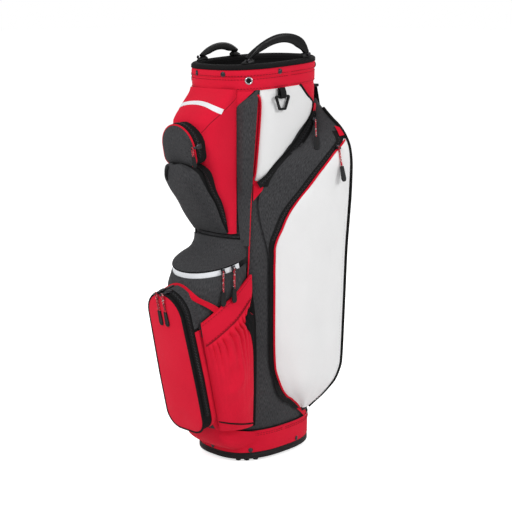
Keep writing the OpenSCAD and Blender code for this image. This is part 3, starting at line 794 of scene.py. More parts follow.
def flecked(name, slot):
    """Braided cord with flecks of red, black and white."""
    m = Finish(name, slot)
    cell = m.node("ShaderNodeTexVoronoi", {"Vector": m.coords("Object"), "Scale": 520.0})
    shade = m.node("ShaderNodeSeparateColor", {0: cell.outputs["Color"]}).outputs[0]
    pick = m.node("ShaderNodeValToRGB", {"Fac": shade})
    ramp = pick.color_ramp
    ramp.interpolation = "CONSTANT"
    ramp.elements[0].color = srgb(190, 18, 44)
    ramp.elements[1].position = 0.66
    ramp.elements[1].color = srgb(32, 30, 32)
    ramp.elements.new(0.87).color = srgb(206, 196, 194)
    return m.shade(Base_Color=pick.outputs["Color"], Roughness=0.75, Sheen_Weight=0.2,
                   Normal=m.bump(cell.outputs["Distance"], 0.6, 0.0006))


RED = cloth("red_polyester", "red_fabric", srgb(224, 21, 53), srgb(192, 11, 41), 1.3, 0.2, 0.03)
RED_TRIM = cloth("red_trim", "red_fabric", srgb(222, 8, 44), srgb(176, 4, 32), 0.8, 0.3, 0.04)
RED_THREAD = cloth("red_thread", "red_fabric", srgb(150, 6, 30), srgb(112, 4, 22), 0.6, 0.2, 0.05)
CHARCOAL = cloth("charcoal_heather", "charcoal_fabric", srgb(76, 76, 78), srgb(40, 40, 42), 1.6, 0.9, 0.03)
GREY_THREAD = cloth("grey_thread", "charcoal_fabric", srgb(84, 84, 88), srgb(58, 58, 62), 0.6, 0.2, 0.3)
LINING = cloth("charcoal_lining", "charcoal_fabric", srgb(46, 46, 50), srgb(30, 30, 33), 1.0, 0.4, 0.15)
WHITE = cloth("white_coated", "white_fabric", srgb(236, 236, 236), srgb(218, 218, 219), 1.4, 0.1, 0.05,
              0.55, 0.3)
WHITE_THREAD = cloth("white_thread", "white_fabric", srgb(214, 214, 216), srgb(180, 180, 182), 0.6, 0.2, 0.2)
SILVER = cloth("silver_reflective", "silver_fabric", srgb(240, 242, 245), srgb(214, 217, 222), 0.7, 0.2, 0.0,
               0.42, 0.2)
BLACK = cloth("black_cloth", "black_fabric", srgb(20, 20, 21), srgb(11, 11, 12), 1.0, 0.5, 0.0)
BLACK_PILE = cloth("black_pile", "black_fabric", srgb(26, 25, 26), srgb(13, 12, 13), 1.6, 0.6, 0.02, 0.9, 0.8)
MESH = cloth("black_mesh", "black_fabric", srgb(52, 52, 55), srgb(20, 20, 22), 3.2, 0.3, 0.2, 0.85, 1.0)
WEBBING = webbing_finish("black_webbing", "black_fabric", srgb(19, 19, 20), srgb(9, 9, 10))
GLOSS = moulding("black_gloss", "black_plastic", srgb(11, 11, 12), 0.4)
PLASTIC = moulding("black_moulding", "black_plastic", srgb(18, 18, 19), 0.45)
TEETH = moulding("zip_teeth", "black_plastic", srgb(44, 44, 46), 0.35)
RUBBER = moulding("black_rubber_tab", "black_rubber", srgb(28, 28, 29), 0.6, 500.0, 0.4)
NICKEL = moulding("bright_nickel", "bright_metal", srgb(205, 205, 208), 0.25, 300.0, 0.1, 1.0)
GUNMETAL = moulding("dark_gunmetal", "dark_metal", srgb(64, 62, 66), 0.35, 300.0, 0.1, 0.9)
CORD = flecked("flecked_cord", "cord_pull")
ROD = moulding("stay_fibre", "stay_rod", srgb(44, 44, 48), 0.5, 1400.0, 0.5)

# The stays keep their solid and only take a finish
for stay in [o for o in bpy.data.objects if o.name.startswith("stay_rods")]:
    stay.data.materials.clear()
    stay.data.materials.append(ROD)


# Pieces that go round the whole tube
def ring_piece(name, node, profile, finish, around=144, waver=0.0, size=40.0):
    """A band around the bag with a closed profile of pairs of a distance out and a height."""
    rows = []
    for off, z in profile + profile[:1]:
        row = []
        for i in range(around):
            t = i * 360 / around
            p = tube(t, z, off)
            row.append(tube(t, z, off + crease(p, size, waver)) if waver and off > 0 else p)
        rows.append(row)
    obj = Patchwork().grid(rows, wrap=True).piece(name, finish)
    mend(obj, join=0.02)
    settle(obj, stands_for=node)


def around_track(z, off, count=240):
    """A closed track around the bag at a height."""
    angles = [i * 360 / count for i in range(count)]
    return [(tube(t, z, off), tube_normal(t, z, off)) for t in angles]


def tube_place(t, z, off):
    """A place on the tube for a shape that faces out."""
    return place(tube(t, z, off), tube_normal(t, z, off), UP)


low, top = BAND_BOTTOM, BAND_TOP
profile = [(0.8, low), (2.6, low), (3.5, low + 3), (4.0, low + 12), (4.2, low + 26), (4.0, top - 6),
           (3.4, top - 1.5), (2.6, top), (0.8, top)]
ring_piece("base_band_cloth", "base_band", profile, RED, waver=1.0)
seam_piece("base_band_stitching", [around_track(z, 4.2) for z in (top - 7, top - 11)], RED_THREAD, 4.5, 2.4)
trim_piece("base_band_piping", [around_track(top + 0.8, 2.6)], round_section(1.7), BLACK, closed=True)

heights = spread(BAND_BOTTOM, LIP_BOTTOM - 1, 44)
profile = [(0.6, z) for z in heights] + [(-2.5, z) for z in reversed(heights)]
ring_piece("body_cloth", "body_shell", profile, CHARCOAL, 120, 1.0, 70.0)

low, top = COLLAR_BOTTOM, LIP_BOTTOM
profile = [(0.8, low), (3.0, low), (4.4, low + 3), (4.8, low + 12), (4.6, top - 20), (4.0, top - 16.4),
           (3.6, top - 15.6), (4.4, top - 14.8), (5.4, top - 13), (5.5, top - 6), (4.8, top - 1), (4.0, top),
           (0.8, top)]
ring_piece("collar_cloth", "collar", profile, RED, 168, 0.8, 60.0)
runs = [around_track(z, off) for z, off in ((top - 19, 4.7), (top - 12, 5.6), (low + 4, 4.6))]
seam_piece("collar_stitching", runs, RED_THREAD, 4.2, 2.4)

profile = [(-7, 772), (-3.3, 772), (-3.3, 800), (-3.3, top + 0.4), (4.6, top + 0.4)]
for a in spread(-30, 210, 14):
    profile.append((-2 + 8.0 * math.cos(math.radians(a)), top + 4.8 + 6.2 * math.sin(math.radians(a))))
profile += [(-10.2, top + 1), (-8, top - 3), (-7, top - 8)]
ring_piece("top_cuff_pad", "top_cuff", profile, BLACK_PILE, 168, 0.7, 34.0)
trim_piece("top_cuff_piping", [around_track(top + 1.6, 5.0)], round_section(1.2), BLACK, closed=True)


# Base tray, studs, rivets, snaps and eyelets
def tray():
    obj = start("circle", vertices=96, radius=1, fill_type="NGON")
    for i, v in enumerate(obj.data.vertices):
        v.co = tube_flat(i * 3.75, 20, 2.6) * MM
        v.co.z = 6.1 * MM
    choose(obj, every)
    extrude(0, 0, 1.8)
    grow(1.008, 1.006, 1)
    extrude(0, 0, 7)
    extrude(0, 0, 0.8)
    grow(0.988, 0.99, 1)
    extrude(0, 0, 3.2)
    grow(1.01, 1.008, 1)
    extrude(0, 0, 1)
    inset(7.2)
    extrude(0, 0, 36)
    inset(3.4)
    extrude(0, 0, -45)
    face_out()
    return named(done(obj, 0.8), "base_tray_moulding", PLASTIC)


settle(tray(), stands_for="base_tray")


def button(radius, height, dish, sides=24):
    """A pressed cap with a rolled rim and a raised middle, facing up Z."""
    obj = disc(radius, height, sides)
    choose(obj, facing(z=1))
    press((radius * 0.22, -dish * 0.4), (radius * 0.16, dish), (radius * 0.34, dish * 0.25))
    return spare(done(obj, radius * 0.07))


def stud(radius):
    """A foot stud with a worn, rounded end, facing down."""
    obj = disc(radius, 5.9)
    choose(obj, facing(z=-1))
    press((radius * 0.2, 0), (radius * 0.3, 0.8))
    choose(obj, facing(z=1))
    grow(1.12, 1.12, 1)
    return spare(done(obj, radius * 0.12))


def eyelet():
    """A rolled metal eyelet with a sunk middle."""
    obj = disc(8, 1.2, 32)
    choose(obj, facing(z=1))
    press((1.0, 0.9), (1.3, 0.1), (0.9, -1.2))
    return spare(done(obj, 0.3))


small = stud(5.5)
corners = [tube_flat(q + s, 0, -9) for q in (45, 135, 225, 315) for s in (-13, 0, 13)]
copies = [(stud(12), Matrix.Identity(4))] + [(small, Matrix.Translation(p)) for p in corners]
copies_piece("foot_stud_caps", copies, RUBBER, "foot_studs")

for name, node, shape, finish, angles, z, off in (
        ("base_rivet_caps", "base_rivets", button(5, 1.4, 0.9), GUNMETAL, (-90, -40, 12, 90, 168, 220),
         BAND_BOTTOM + 6.2, 3.6),
        ("collar_snap_caps", "collar_snaps", button(5.5, 1.6, 1.2, 28), GUNMETAL,
         (-75, -10, 45, 78, 102, 135, 190, 255), LIP_BOTTOM - 8, 4.8),
        ("eyelet_rings", "eyelets", eyelet(), NICKEL, (-44.5, -135.5), COLLAR_BOTTOM + 20.5, 4.6),
        # The black discs in the eyelets' sunk middles are painted shade: they stand for the dark inside of
        # the holes.
        ("eyelet_holes", (), button(4.7, 0.6, 0.05), BLACK, (-44.5, -135.5), COLLAR_BOTTOM + 20.5, 5.4)):
    copies_piece(name, [(shape, tube_place(t, z, off)) for t in angles], finish, node)

# Handles, their screws, and the towel rings
HANDLE_MIDDLE, HANDLE_SEAT = 90.5, 7.7
HANDLE_DEPTH = {1: 48, -1: 64}
HANDLE_PLACE = (Matrix.Translation((0, 0, RIM_HEIGHT)) @ Matrix.Rotation(RIM_ANGLE, 4, "X")
                @ Matrix.Translation((TOP_HALF[0] - 20, -18, 0)) @ Matrix.Rotation(math.radians(-9), 4, "Z"))


def handle_start(side):
    return math.asin((HANDLE_DEPTH[side] + HANDLE_SEAT) / HANDLE_MIDDLE)


def handle_reach(side):
    return HANDLE_MIDDLE * math.cos(handle_start(side)) + 1.7


def handle(side, word):
    """A moulded grip: a section spun round an arch, thinned towards its ends, with two feet."""
    depth, first, reach = HANDLE_DEPTH[side], handle_start(side) - 0.03, handle_reach(side)
    obj = start("plane", size=1)
    choose(obj, every)
    bpy.ops.mesh.subdivide(number_cuts=3)
    bpy.ops.object.mode_set(mode="OBJECT")
    for v in obj.data.vertices:
        across, high = v.co.x * 10, v.co.y * 19
        crown = 1 - 0.3 * (abs(high) / 9.5) ** 2
        radius = HANDLE_MIDDLE + high * (1 - 0.12 * (abs(across) / 5) ** 2)
        v.co = Vector((across * crown, radius * math.cos(first), radius * math.sin(first) - depth)) * MM
    choose(obj, every)
    bpy.ops.mesh.spin(steps=40, angle=-(math.pi - 2 * first), center=(0, 0, -depth * MM), axis=(1, 0, 0))
    bpy.ops.object.mode_set(mode="OBJECT")
    for v in obj.data.vertices:
        y, z = v.co.y / MM, v.co.z / MM + depth
        a, r = math.atan2(z, y), math.hypot(y, z)
        end = ease((abs(a - math.pi / 2) / (math.pi / 2 - first) - 0.55) / 0.45)
        r = HANDLE_MIDDLE + (r - HANDLE_MIDDLE) * (1 - 0.45 * end) + 2.5 * end
        v.co.x *= 1 + 0.3 * end
        v.co.y, v.co.z = r * math.cos(a) * MM, (r * math.sin(a) - depth) * MM
    obj.data.transform(Matrix.Rotation(math.radians(8), 4, "Y"))
    parts = [obj]
    for s in (-1, 1):
        foot = block((14, 22, 5), (1.5, s * reach, -0.5))
        choose(foot, facing(z=1))
        inset(1.5)
        shift(0, -s * 3, 4.5)
        grow(0.75, 0.55, 1, (1.5, s * (reach - 5), 8))
        choose(foot, facing(y=s))
        shift(0, s * 4, 0)
        grow(0.6, 1, 0.35, (1.5, s * reach, -2))
        parts.append(done(foot, 1.8, 3))
    mend(joined(parts))
    for v in obj.data.vertices:
        if side < 0 and v.co.z > 2 * MM:
            v.co.z = 2 * MM + (v.co.z - 2 * MM) * 0.8
        v.co.y += 14 * MM * ease(v.co.z / (48 * MM))
        v.co = mirrored(HANDLE_PLACE @ (v.co / MM), side) * MM
    if side < 0:
        obj.data.flip_normals()
    return named(obj, f"handle_grip_{word}", GLOSS, 50)


for side, word in SIDES:
    settle(handle(side, word), stands_for=f"handle_{word}")


def screw():
    """A round head with a cross recess."""
    obj = disc(3.6, 1.4)
    choose(obj, facing(z=1))
    press((0.7, 0.4), (1.6, 0), (0.3, -0.7))
    return spare(done(obj, 0.2))


head = screw()
copies = []
for side in (-1, 1):
    for s in (-1, 1):
        at = HANDLE_PLACE @ Vector((9.4, s * (handle_reach(side) + 4), 4.4))
        out = HANDLE_PLACE.to_3x3() @ Vector((1, 0, 0))
        copies.append((head, place(mirrored(at, side), mirrored(out, side), UP)))
copies_piece("handle_screw_heads", copies, GUNMETAL, "handle_screws")


def towel_ring(side, word):
    """A moulded triangle ring that hangs from its webbing."""
    obj = start("circle", vertices=32, radius=1, fill_type="NGON")
    corners = [(-16, -2.6), (16, -2.6), (7, -24), (-7, -24)]
    starts = [180, 90, -10, -80]
    sweeps = [-90, -100, -70, -100]
    for i, v in enumerate(obj.data.vertices):
        k, j = divmod(i, 8)
        a = math.radians(starts[k] + sweeps[k] * j / 7)
        v.co = Vector((corners[k][0] + 4.5 * math.cos(a), corners[k][1] + 4.5 * math.sin(a), -1.9)) * MM
    choose(obj, every)
    inset(4.6)
    bpy.ops.mesh.delete(type="FACE")
    bpy.ops.mesh.select_all(action="SELECT")
    extrude(0, 0, 3.8)
    face_out()
    done(obj, 1.1, 3)
    for v in obj.data.vertices:
        p = v.co / MM
        v.co = mirrored(TOWEL_PIN + Vector((p.z, p.x, p.y)), side) * MM
    if side < 0:
        obj.data.flip_normals()
    return named(obj, f"towel_triangle_{word}", PLASTIC, 50)


def towel_loop(side):
    """The webbing that goes down round a towel ring's bar and up again."""
    run = [(-4.6, 16), (-4.4, 8), (-3.9, 1), (-2.6, -2.9), (0, -4.0), (2.6, -2.9), (3.9, 0.5), (3.4, 6),
           (1.2, 12), (-1.2, 17)]
    points = even([mirrored(TOWEL_PIN + Vector((x, 0, z)), side) for x, z in run], 30)
    track = []
    for i, p in enumerate(points):
        ahead = (points[min(i + 1, 30)] - points[max(i - 1, 0)]).normalized()
        track.append((p, ahead.cross(Vector((0, 1, 0))).normalized() * -side))
    return track


for side, word in SIDES:
    settle(towel_ring(side, word), f"towel_ring_{word}", f"towel_ring_{word}")
trim_piece("towel_webbing", [towel_loop(1), towel_loop(-1)], tape_section(16, 1.4), WEBBING, "towel_loops")


# Club dividers
def slots(z0, high, thick, at, inset_by):
    """Boxes of the club slots: two long ones and the short ones between them and the wall."""
    a = lerp(BASE_HALF[0], TOP_HALF[0], at / RIM_HEIGHT) - inset_by
    b = lerp(BASE_HALF[1], TOP_HALF[1], at / RIM_HEIGHT) - inset_by
    half = thick / 2
    span = b * (1 - ((32 + half) / a) ** OVAL) ** (1 / OVAL)
    boxes = [(Vector((s * 32 - half, -span, z0)), Vector((s * 32 + half, span, z0 + high))) for s in (-1, 1)]
    for y in (23, 68):
        reach = a * (1 - ((y + half) / b) ** OVAL) ** (1 / OVAL)
        for s in (-1, 1):
            low, top = s * y - half, s * y + half
            for x0, x1 in ((-31.7 + half, 31.7 - half), (32.3 + half, reach), (-reach, -32.3 - half)):
                boxes.append((Vector((x0, low, z0)), Vector((x1, top, z0 + high))))
    return boxes


def divider_bar(low, high):
    """A padded bar with a rounded crest."""
    size, middle = high - low, (low + high) / 2
    obj = block(size, middle)
    choose(obj, facing(z=1))
    along = (0.75, 1, 1) if size.y > size.x else (1, 0.75, 1)
    grow(*along, middle)
    return spare(done(obj, 2.2, 3))


boxes = slots(LIP_BOTTOM - 33, 22, 8, LIP_BOTTOM - 17, 7.9)
copies = [(divider_bar(low, high), Matrix.Identity(4)) for low, high in boxes]
copies_piece("divider_padding", copies, BLACK_PILE, "divider_bars", 60)

for i, (low, high) in enumerate(slots(11.4, LIP_BOTTOM - 44.7, 1.6, BAND_BOTTOM, 10.6)):
    size, core = high - low, (low + high) / 2
    along, across = (1, 0) if size.y > size.x else (0, 1)
    rows = []
    for z in spread(low.z, high.z, 30):
        row = []
        for f in spread(0, 1, 8):
            p = Vector((core.x, core.y, z))
            p[along] = lerp(low[along], high[along], f)
            wave = crease(p + Vector((i * 37, 0, 0)), 90, 1.6)
            p[across] += wave * math.sin(math.pi * f) * ease((high.z - z) / 60)
            row.append(p)
        rows.append(row)
    core[across] -= 50
    obj = cloth_piece(f"divider_sheet_{i + 1}", rows, LINING, 0.8, "divider_sheets" if i == 0 else (), core)


# Front pockets
def upper(f, z, out=0.0):
    """The red upper pocket with its soft folds."""
    p = bow(f, z, UPPER_REACH, 3.4)
    n = Vector((p.x * 0.6, p.y + 60, 90 * ease((z - 715) / 30))).normalized()
    calm = clamp01(min(6 - 6 * abs(f), (z - 500) / 30, (796 - z) / 25))
    return p + n * (out + crease(p, 55, 3.2) * calm)


def rim_fade(i, count):
    """0 at both ends of a row of points, rising to 1 a fifth of the way in."""
    return min(1, 5 * i / count, 5 - 5 * i / count)


def panel(surface, us, vs, depth=0.0, size=50.0, puff=0.0):
    """Rows of points over a surface's own coordinates, with creases and a soft puff."""
    rows = []
    for j, v in enumerate(vs):
        across = us(v)
        row = []
        for i, u in enumerate(across):
            rim = min(rim_fade(i, len(across) - 1), rim_fade(j, len(vs) - 1))
            fold = crease(surface(u, v, 0), size, depth)
            row.append(surface(u, v, fold * rim + puff * math.sqrt(max(0, rim))))
        rows.append(row)
    return rows


rows = panel(upper, lambda z: spread(-1, 1, 80), spread(498, 800, 76))
cloth_piece("upper_pocket_cloth", rows, RED, 2.2, "upper_pocket")
line = [(0, 765.5), (0.27, 759.5), (0.67, 750.5), (0.82, 747)]
rows = [[upper(f, lookup(abs(f), line) + up, 1.8) for f in spread(-0.8, 0.8, 90)]
        for up in spread(-4.8, 4.8, 6)]
cloth_piece("upper_reflective_strip", rows, SILVER, 1.2)
knots = [(0.99, 793), (0.99, 779), (0.81, 757), (0.64, 738), (0.43, 719), (0.3, 709)]
runs = both_sides(trace(upper, knots, 60, 0.01, rise=0.9))
trim_piece("upper_pocket_seams", runs, round_section(1.5, 6), RED_THREAD)
runs = both_sides(trace(upper, [(0.95, 768), (0.77, 752), (0.6, 733), (0.39, 714)], 60, 0.01, rise=0.4))
for edge in (0.93, -0.93):
    runs.append(trace(upper, [(edge, z) for z in (510, 560, 640, 735)], 80, 0.01, rise=0.4))
seam_piece("upper_pocket_stitching", runs, RED_THREAD)


def slant(f, z, out=0.0):
    """The arched pocket low on the front, f from -1 to 1 between its own edges."""
    g = f * lookup(z, SLANT_HALF)
    d = lookup(z, SLANT_REACH) - lookup(z, UPPER_REACH)
    p = bow(g * 0.52, z, UPPER_REACH, 3.4)
    n = Vector((p.x * 0.8, p.y + 60, 0)).normalized()
    rise = d * (1 - 0.45 * abs(g) ** 3) * (1 - 0.16 * f ** 6) + crease(p, 40, 2.2) * (1 - f * f)
    return p - Vector((0, rise, 0)) + n * out


def slant_root(f, z):
    """Where the slant pocket's edge meets the red pocket behind it."""
    return upper(f * lookup(z, SLANT_HALF) * 0.54, z + 2.5 * abs(f), 0.6)


SLANT_ROWS = spread(499, 620, 24) + spread(622, 640, 9) + spread(641, SLANT_TOP, 6)
rows = panel(slant, lambda z: spread(-1, 1, 36), SLANT_ROWS)
cloth_piece("slant_pocket_cloth", rows, CHARCOAL, 1.8, "slant_pocket")
slant_edge = [(-1, z) for z in SLANT_ROWS] + [(1, z) for z in reversed(SLANT_ROWS)]
rows = []
for s in spread(0, 1, 8):
    swell = math.sin(math.pi * s)
    rows.append([lerp(slant(f, z), slant_root(f, z), s) + Vector((f * 1.5, 0, 2)) * swell
                 for f, z in slant_edge])
cloth_piece("slant_gusset", rows, BLACK, 1.2, core=(0, -120, 570))
SLANT_ZIP = slice(28, -4)
track = []
for f, z in slant_edge[SLANT_ZIP]:
    out = Vector((f * (1 - ease((z - 600) / 40)), 0, ease((z - 590) / 45) + 0.2)).normalized()
    track.append((lerp(slant(f, z), slant_root(f, z), 0.4) + out * 2.6, out))
trim_piece("slant_zip_tape", [track], tape_section(11, 0.8), WEBBING)
teeth_piece("slant_zip_teeth", [lifted(track, 0.8)])
line = [slant(-0.3, z) + Vector((0, y, up))
        for z, y, up in ((638, -0.6, 3), (630, -3, 1), (622, -3.5, 0), (612, -1.4, 0))]
out = Vector((-0.2, -0.9, 0.35)).normalized()
trim_piece("slant_loop_tab", [[(q, out) for q in even(line, 14)]], tape_section(9, 1.6), WEBBING)
track = [(slant(f, z, 0.6), Vector((f * 0.6, -1, 0.3)).normalized()) for f, z in slant_edge]
trim_piece("slant_piping", [track], round_section(1.4, 6), BLACK)


def arc(x, y, radius, first, last, count):
    """Points on a part of a circle, between two angles."""
    angles = [math.radians(a) for a in spread(first, last, count)]
    return [(x + radius * math.cos(a), y + radius * math.sin(a)) for a in angles]


def pocket_outline(half, corner, top_radius, top_at, waist, g, count):
    """A pocket's outline from its bottom middle up its right side and round, evenly spaced."""
    pts = [(0, -g), *arc(half - corner, corner, corner + g, -90, 0, 8), (half + g, waist),
           *arc(0, top_at, top_radius + g, 0, 90, 16)]
    pts += [(-x, y) for x, y in reversed(pts[:-1])]
    return even([Vector((x, y, 0)) for x, y in pts], count)[:-1]


def ball_outline(g):
    return pocket_outline(55, 35, BALL_RADIUS, BALL_LENGTH, 120, g, 112)


def valuables_outline(g):
    return pocket_outline(46, 16, VALUABLES_RADIUS, VALUABLES_LENGTH, 30, g, 72)


def padded_door(name, at, outline, spine, depth, crown, finish):
    """A padded door: a flat back, a rolled edge and a swelling front, blown up like cloth."""
    edge = 6.3
    steps = [(1, 0.5), (0.6, 0.5), (0.25, 0.5), (0.02, 0.5), (-0.012, 1.6), (-0.012, 4.0), (0.0, 5.2),
             (0.05, edge)]
    for s, share in ((0.12, 0.35), (0.25, 0.66), (0.45, 0.88), (0.7, 1), (1, 1)):
        steps.append((s, edge + crown * share))
    rows = []
    for s, z in steps:
        row = []
        for q in outline(0):
            p = lerp(q, Vector((0, max(spine[0], min(spine[1], q.y)), 0)), s)
            fold = crease(at(p.x, p.y, 0), 45, 1.2) if z > 6 else 0
            row.append(at(p.x, p.y, depth + z + fold))
        rows.append(row)
    middle = at(0, (spine[0] + spine[1]) / 2, depth + 3)
    obj = Patchwork().grid(rows, wrap=True, core=middle).piece(name, finish)
    mend(obj, join=0.08)
    base, n = at(0, 0, depth), at(0, 0, 1) - at(0, 0, 0)
    held = [v.index for v in obj.data.vertices if (v.co / MM - base).dot(n) < 5.4]
    inflate(obj, held, 4.0, 3.0)
    soften(obj, 60)
    return obj


door = padded_door("ball_door_pad", ball_at, ball_outline, (55, BALL_LENGTH), BALL_DEPTH, 2.6, RED)
settle(door, "ball_flap", "ball_flap")
door = padded_door("valuables_door_pad", valuables_at, valuables_outline, (30, VALUABLES_LENGTH),
                   VALUABLES_DEPTH, 4, CHARCOAL)
settle(door, "valuables_flap", "valuables_flap")


def rim_track(at, outline, g, z, from_y=-100):
    """A track along a pocket's outline at a depth, open at the bottom if it starts above it."""
    ring = outline(g)
    middle = at(0, 0, 0)
    track = []
    for k, q in enumerate(ring):
        d = (ring[(k + 1) % len(ring)] - ring[k - 1]).normalized()
        if q.y >= from_y:
            track.append((at(q.x, q.y, z), at(d.y, -d.x, 0) - middle))
    return track


track = rim_track(ball_at, ball_outline, 0.9, BALL_DEPTH + 4.2)
trim_piece("ball_door_piping", [track], round_section(2.5), BLACK, body="ball_flap", closed=True)
track = rim_track(valuables_at, valuables_outline, 0.8, VALUABLES_DEPTH + 3)
trim_piece("valuables_door_piping", [track], round_section(2.1), RED_TRIM, body="valuables_flap", closed=True)


def gusset(name, at, outline, low, depth, node):
    """The side wall of a round pocket, with a soft swell."""
    steps = [(-2.4, low), (0.0, low)]
    steps += [(math.sin(math.pi * s), lerp(low, depth, s)) for s in spread(0.1, 1, 9)]
    steps += [(-2.4, depth), (-2.4, low)]
    rows = [[at(q.x, q.y, z) for q in outline(g)] for g, z in steps]
    obj = Patchwork().grid(rows, wrap=True, core=at(0, 60, depth / 2)).piece(name, BLACK)
    mend(obj, join=0.02)
    settle(obj, stands_for=node)


def gusset_cover(name, low_y, high_y, finish):
    """Cloth over the rear of the ball pocket's wall, between two heights of its outline."""
    for side, word in SIDES:
        line = [q for q in ball_outline(1.5) if low_y <= q.y <= high_y and q.x * side >= 0]
        line.sort(key=lambda q: math.atan2(q.y - 120, abs(q.x)))
        rows = [[ball_at(q.x, q.y, z) for q in line] for z in spread(-13, BALL_DEPTH - 19, 6)]
        cloth_piece(f"{name}_{word}", rows, finish, 1.0, core=ball_at(0, 150, 0))


gusset("ball_gusset", ball_at, ball_outline, -14, BALL_DEPTH, "ball_box")
gusset_cover("ball_wall_red", 4, 228, RED)
gusset_cover("ball_wall_charcoal", 229, 400, CHARCOAL)
gusset("valuables_gusset", valuables_at, valuables_outline, -6, VALUABLES_DEPTH, "valuables_box")
for name, at, outline, z, from_y in (
        ("ball", ball_at, ball_outline, BALL_DEPTH - 9.5, 36),
        ("valuables", valuables_at, valuables_outline, VALUABLES_DEPTH - 7.5, 17)):
    track = rim_track(at, outline, 1.0, z, from_y)
    trim_piece(f"{name}_zip_tape", [track], tape_section(13, 0.8), WEBBING)
    teeth_piece(f"{name}_zip_teeth", [lifted(track, 0.7)], f"{name}_zip")
rows = [[valuables_at(lerp(q.x, 0, s), lerp(q.y, VALUABLES_LENGTH, s), 9.0 - 2 * s)
         for q in valuables_outline(-1)] for s in (0, 0.5, 0.98)]
lining = Patchwork().grid(rows, True, valuables_at(0, VALUABLES_LENGTH, -20))
settle(lining.piece("valuables_lining", LINING, 1.0))


def lower(f, z, out=0.0):
    """The housing behind the ball pocket."""
    p = bow(f, z, LOWER_REACH, 5)
    n = Vector((p.x * 0.5, p.y + 60, 0)).normalized()
    calm = clamp01(min(6 - 6 * abs(f), (z - 71) / 25))
    return p + n * (out + crease(p, 60, 1.6) * calm)


rows = panel(lower, lambda z: spread(-1, 1, 60), spread(71, 376, 30))
cloth_piece("front_housing_cloth", rows, CHARCOAL, 2.2, "front_housing")
for side, word in SIDES:
    rows = [[lower(side * f, z, 2.2) for f in spread(0.4, 0.97, 14)] for z in spread(70, 292, 20)]
    cloth_piece(f"housing_red_gore_{word}", rows, RED, 1.2, core=(0, -100, 200))

# Cooler pocket: beyond its round wall two short ends lie on the tube
COOLER_END_SHARE, COOLER_END_ANGLE = 1.083, 42
COOLER_RUN_OUT = 330


def cooler_end(f, z):
    return tube(math.copysign(COOLER_END_ANGLE, f) - 90, z, 3)


def cooler_wall(f, s, out=0.0):
    """The cooler's wall, s from 0 at its foot to 1 at the strip, and down to -1 on the housing below."""
    low = -COOLER_STRIP / 2 - 0.4
    if abs(f) > 1:
        return lerp(cooler_end(f, COOLER_FOOT), cooler_end(f, COOLER_CENTRE.z + low + 6), s)
    a = math.radians(90 * f)
    n = heading(90 * f)
    bottom = Vector(((COOLER_RADIUS - 6) * math.sin(a), COOLER_CENTRE.y - COOLER_REACH * math.cos(a),
                     COOLER_FOOT))
    if s < 0:
        return lerp(bottom, lower(f * 0.94, COOLER_RUN_OUT, 1.2), -s) + n * (out + 3 * (1 + s) ** 2)
    fold = 3 * (1 - s) + (3 + crease(bottom + Vector((0, 0, 60 * s)), 35, 3.0)) * math.sin(math.pi * s)
    return lerp(bottom, cooler_ring(f, COOLER_RADIUS, low), s) + n * (out + fold)


def cooler_top(f, s, out=0.0):
    """The cooler's lid, s from 0 at the strip to 1 at its hinge."""
    top = tube(-90 + f * 34, COOLER_HINGE, 3.2)
    ring = cooler_ring(f, COOLER_RADIUS, COOLER_STRIP / 2 + 0.4)
    if abs(f) > 1:
        ring = cooler_end(f, COOLER_CENTRE.z + COOLER_STRIP / 2 + 6.4)
    swell = math.sin(math.pi * s ** 1.3) * (-11 + crease(lerp(ring, top, s), 45, 3.0))
    return lerp(ring, top, s) + Vector((0, -0.6, 0.8)) * (out + swell)


def cooler_track(up, radius):
    return [(cooler_ring(f, radius, up), heading(90 * f)) for f in spread(-1, 1, 80)]


around_cooler = [-COOLER_END_SHARE] + spread(-1, 1, 44) + [COOLER_END_SHARE]
rows = panel(cooler_wall, lambda s: around_cooler, spread(-1, 1, 24))
cloth_piece("cooler_wall_cloth", rows, CHARCOAL, 2.4, "cooler_box", (0, -90, 400))
rows = panel(cooler_top, lambda s: around_cooler, spread(0, 1, 18))
cloth_piece("cooler_lid_cloth", rows, CHARCOAL, 3.0, "cooler_lid", (0, -90, 400), "cooler_lid")
track = cooler_track(0, COOLER_RADIUS - 1.2)
trim_piece("cooler_strip", [track], tape_section(COOLER_STRIP + 1.4, 2.0), SILVER, "cooler_zip")
for name, up, body in (("lower", -COOLER_STRIP / 2 - 1.2, "bag"),
                       ("upper", COOLER_STRIP / 2 + 1.4, "cooler_lid")):
    track = cooler_track(up, COOLER_RADIUS + 0.4)
    trim_piece(f"cooler_piping_{name}", [track], round_section(1.7), BLACK, body=body)

# The red stripe under the cooler and the red chin under the ball pocket
line = [(0, 394), (0.1, 392), (0.37, 374), (0.77, 350), (0.8, 348)]
rows = []
for up in spread(-5.2, 5.2, 5):
    row = []
    for f in spread(-0.8, 0.8, 70):
        rise = lookup(abs(f), line) + up - COOLER_FOOT
        s = rise / (cooler_wall(f, 1).z - COOLER_FOOT if rise > 0 else COOLER_FOOT - COOLER_RUN_OUT)
        row.append(cooler_wall(f, s, 1.6 + 4.2 * ease((0.35 - s) / 0.6) + 5 * math.exp(-(s / 0.16) ** 2)))
    for _ in range(14):
        row = row[:1] + [(a + b * 2 + c) / 4 for a, b, c in zip(row, row[1:], row[2:])] + row[-1:]
    rows.append(row)
cloth_piece("housing_red_stripe", rows, RED_TRIM, 3.4, core=(0, -90, 390))

rows = []
for s in spread(0, 1, 16):
    row = []
    for f in spread(-1, 1, 48):
        side = ease((abs(f) - 0.5) / 0.5)
        a = tube(-90 + f * 56, lerp(30, 44, side), 4.9)
        b = lerp(lower(f * 0.9, 84), tube(-90 + f * 56, 68, 5.0), side)
        sag = math.sin(math.pi * s) * (1 - side)
        p = lerp(a, b, s) + Vector((0, -9, -7)) * sag
        row.append(p + Vector((0, crease(p, 30, 2.5) * sag, 0)))
    rows.append(row)
cloth_piece("front_chin_cloth", rows, RED, 2.0)


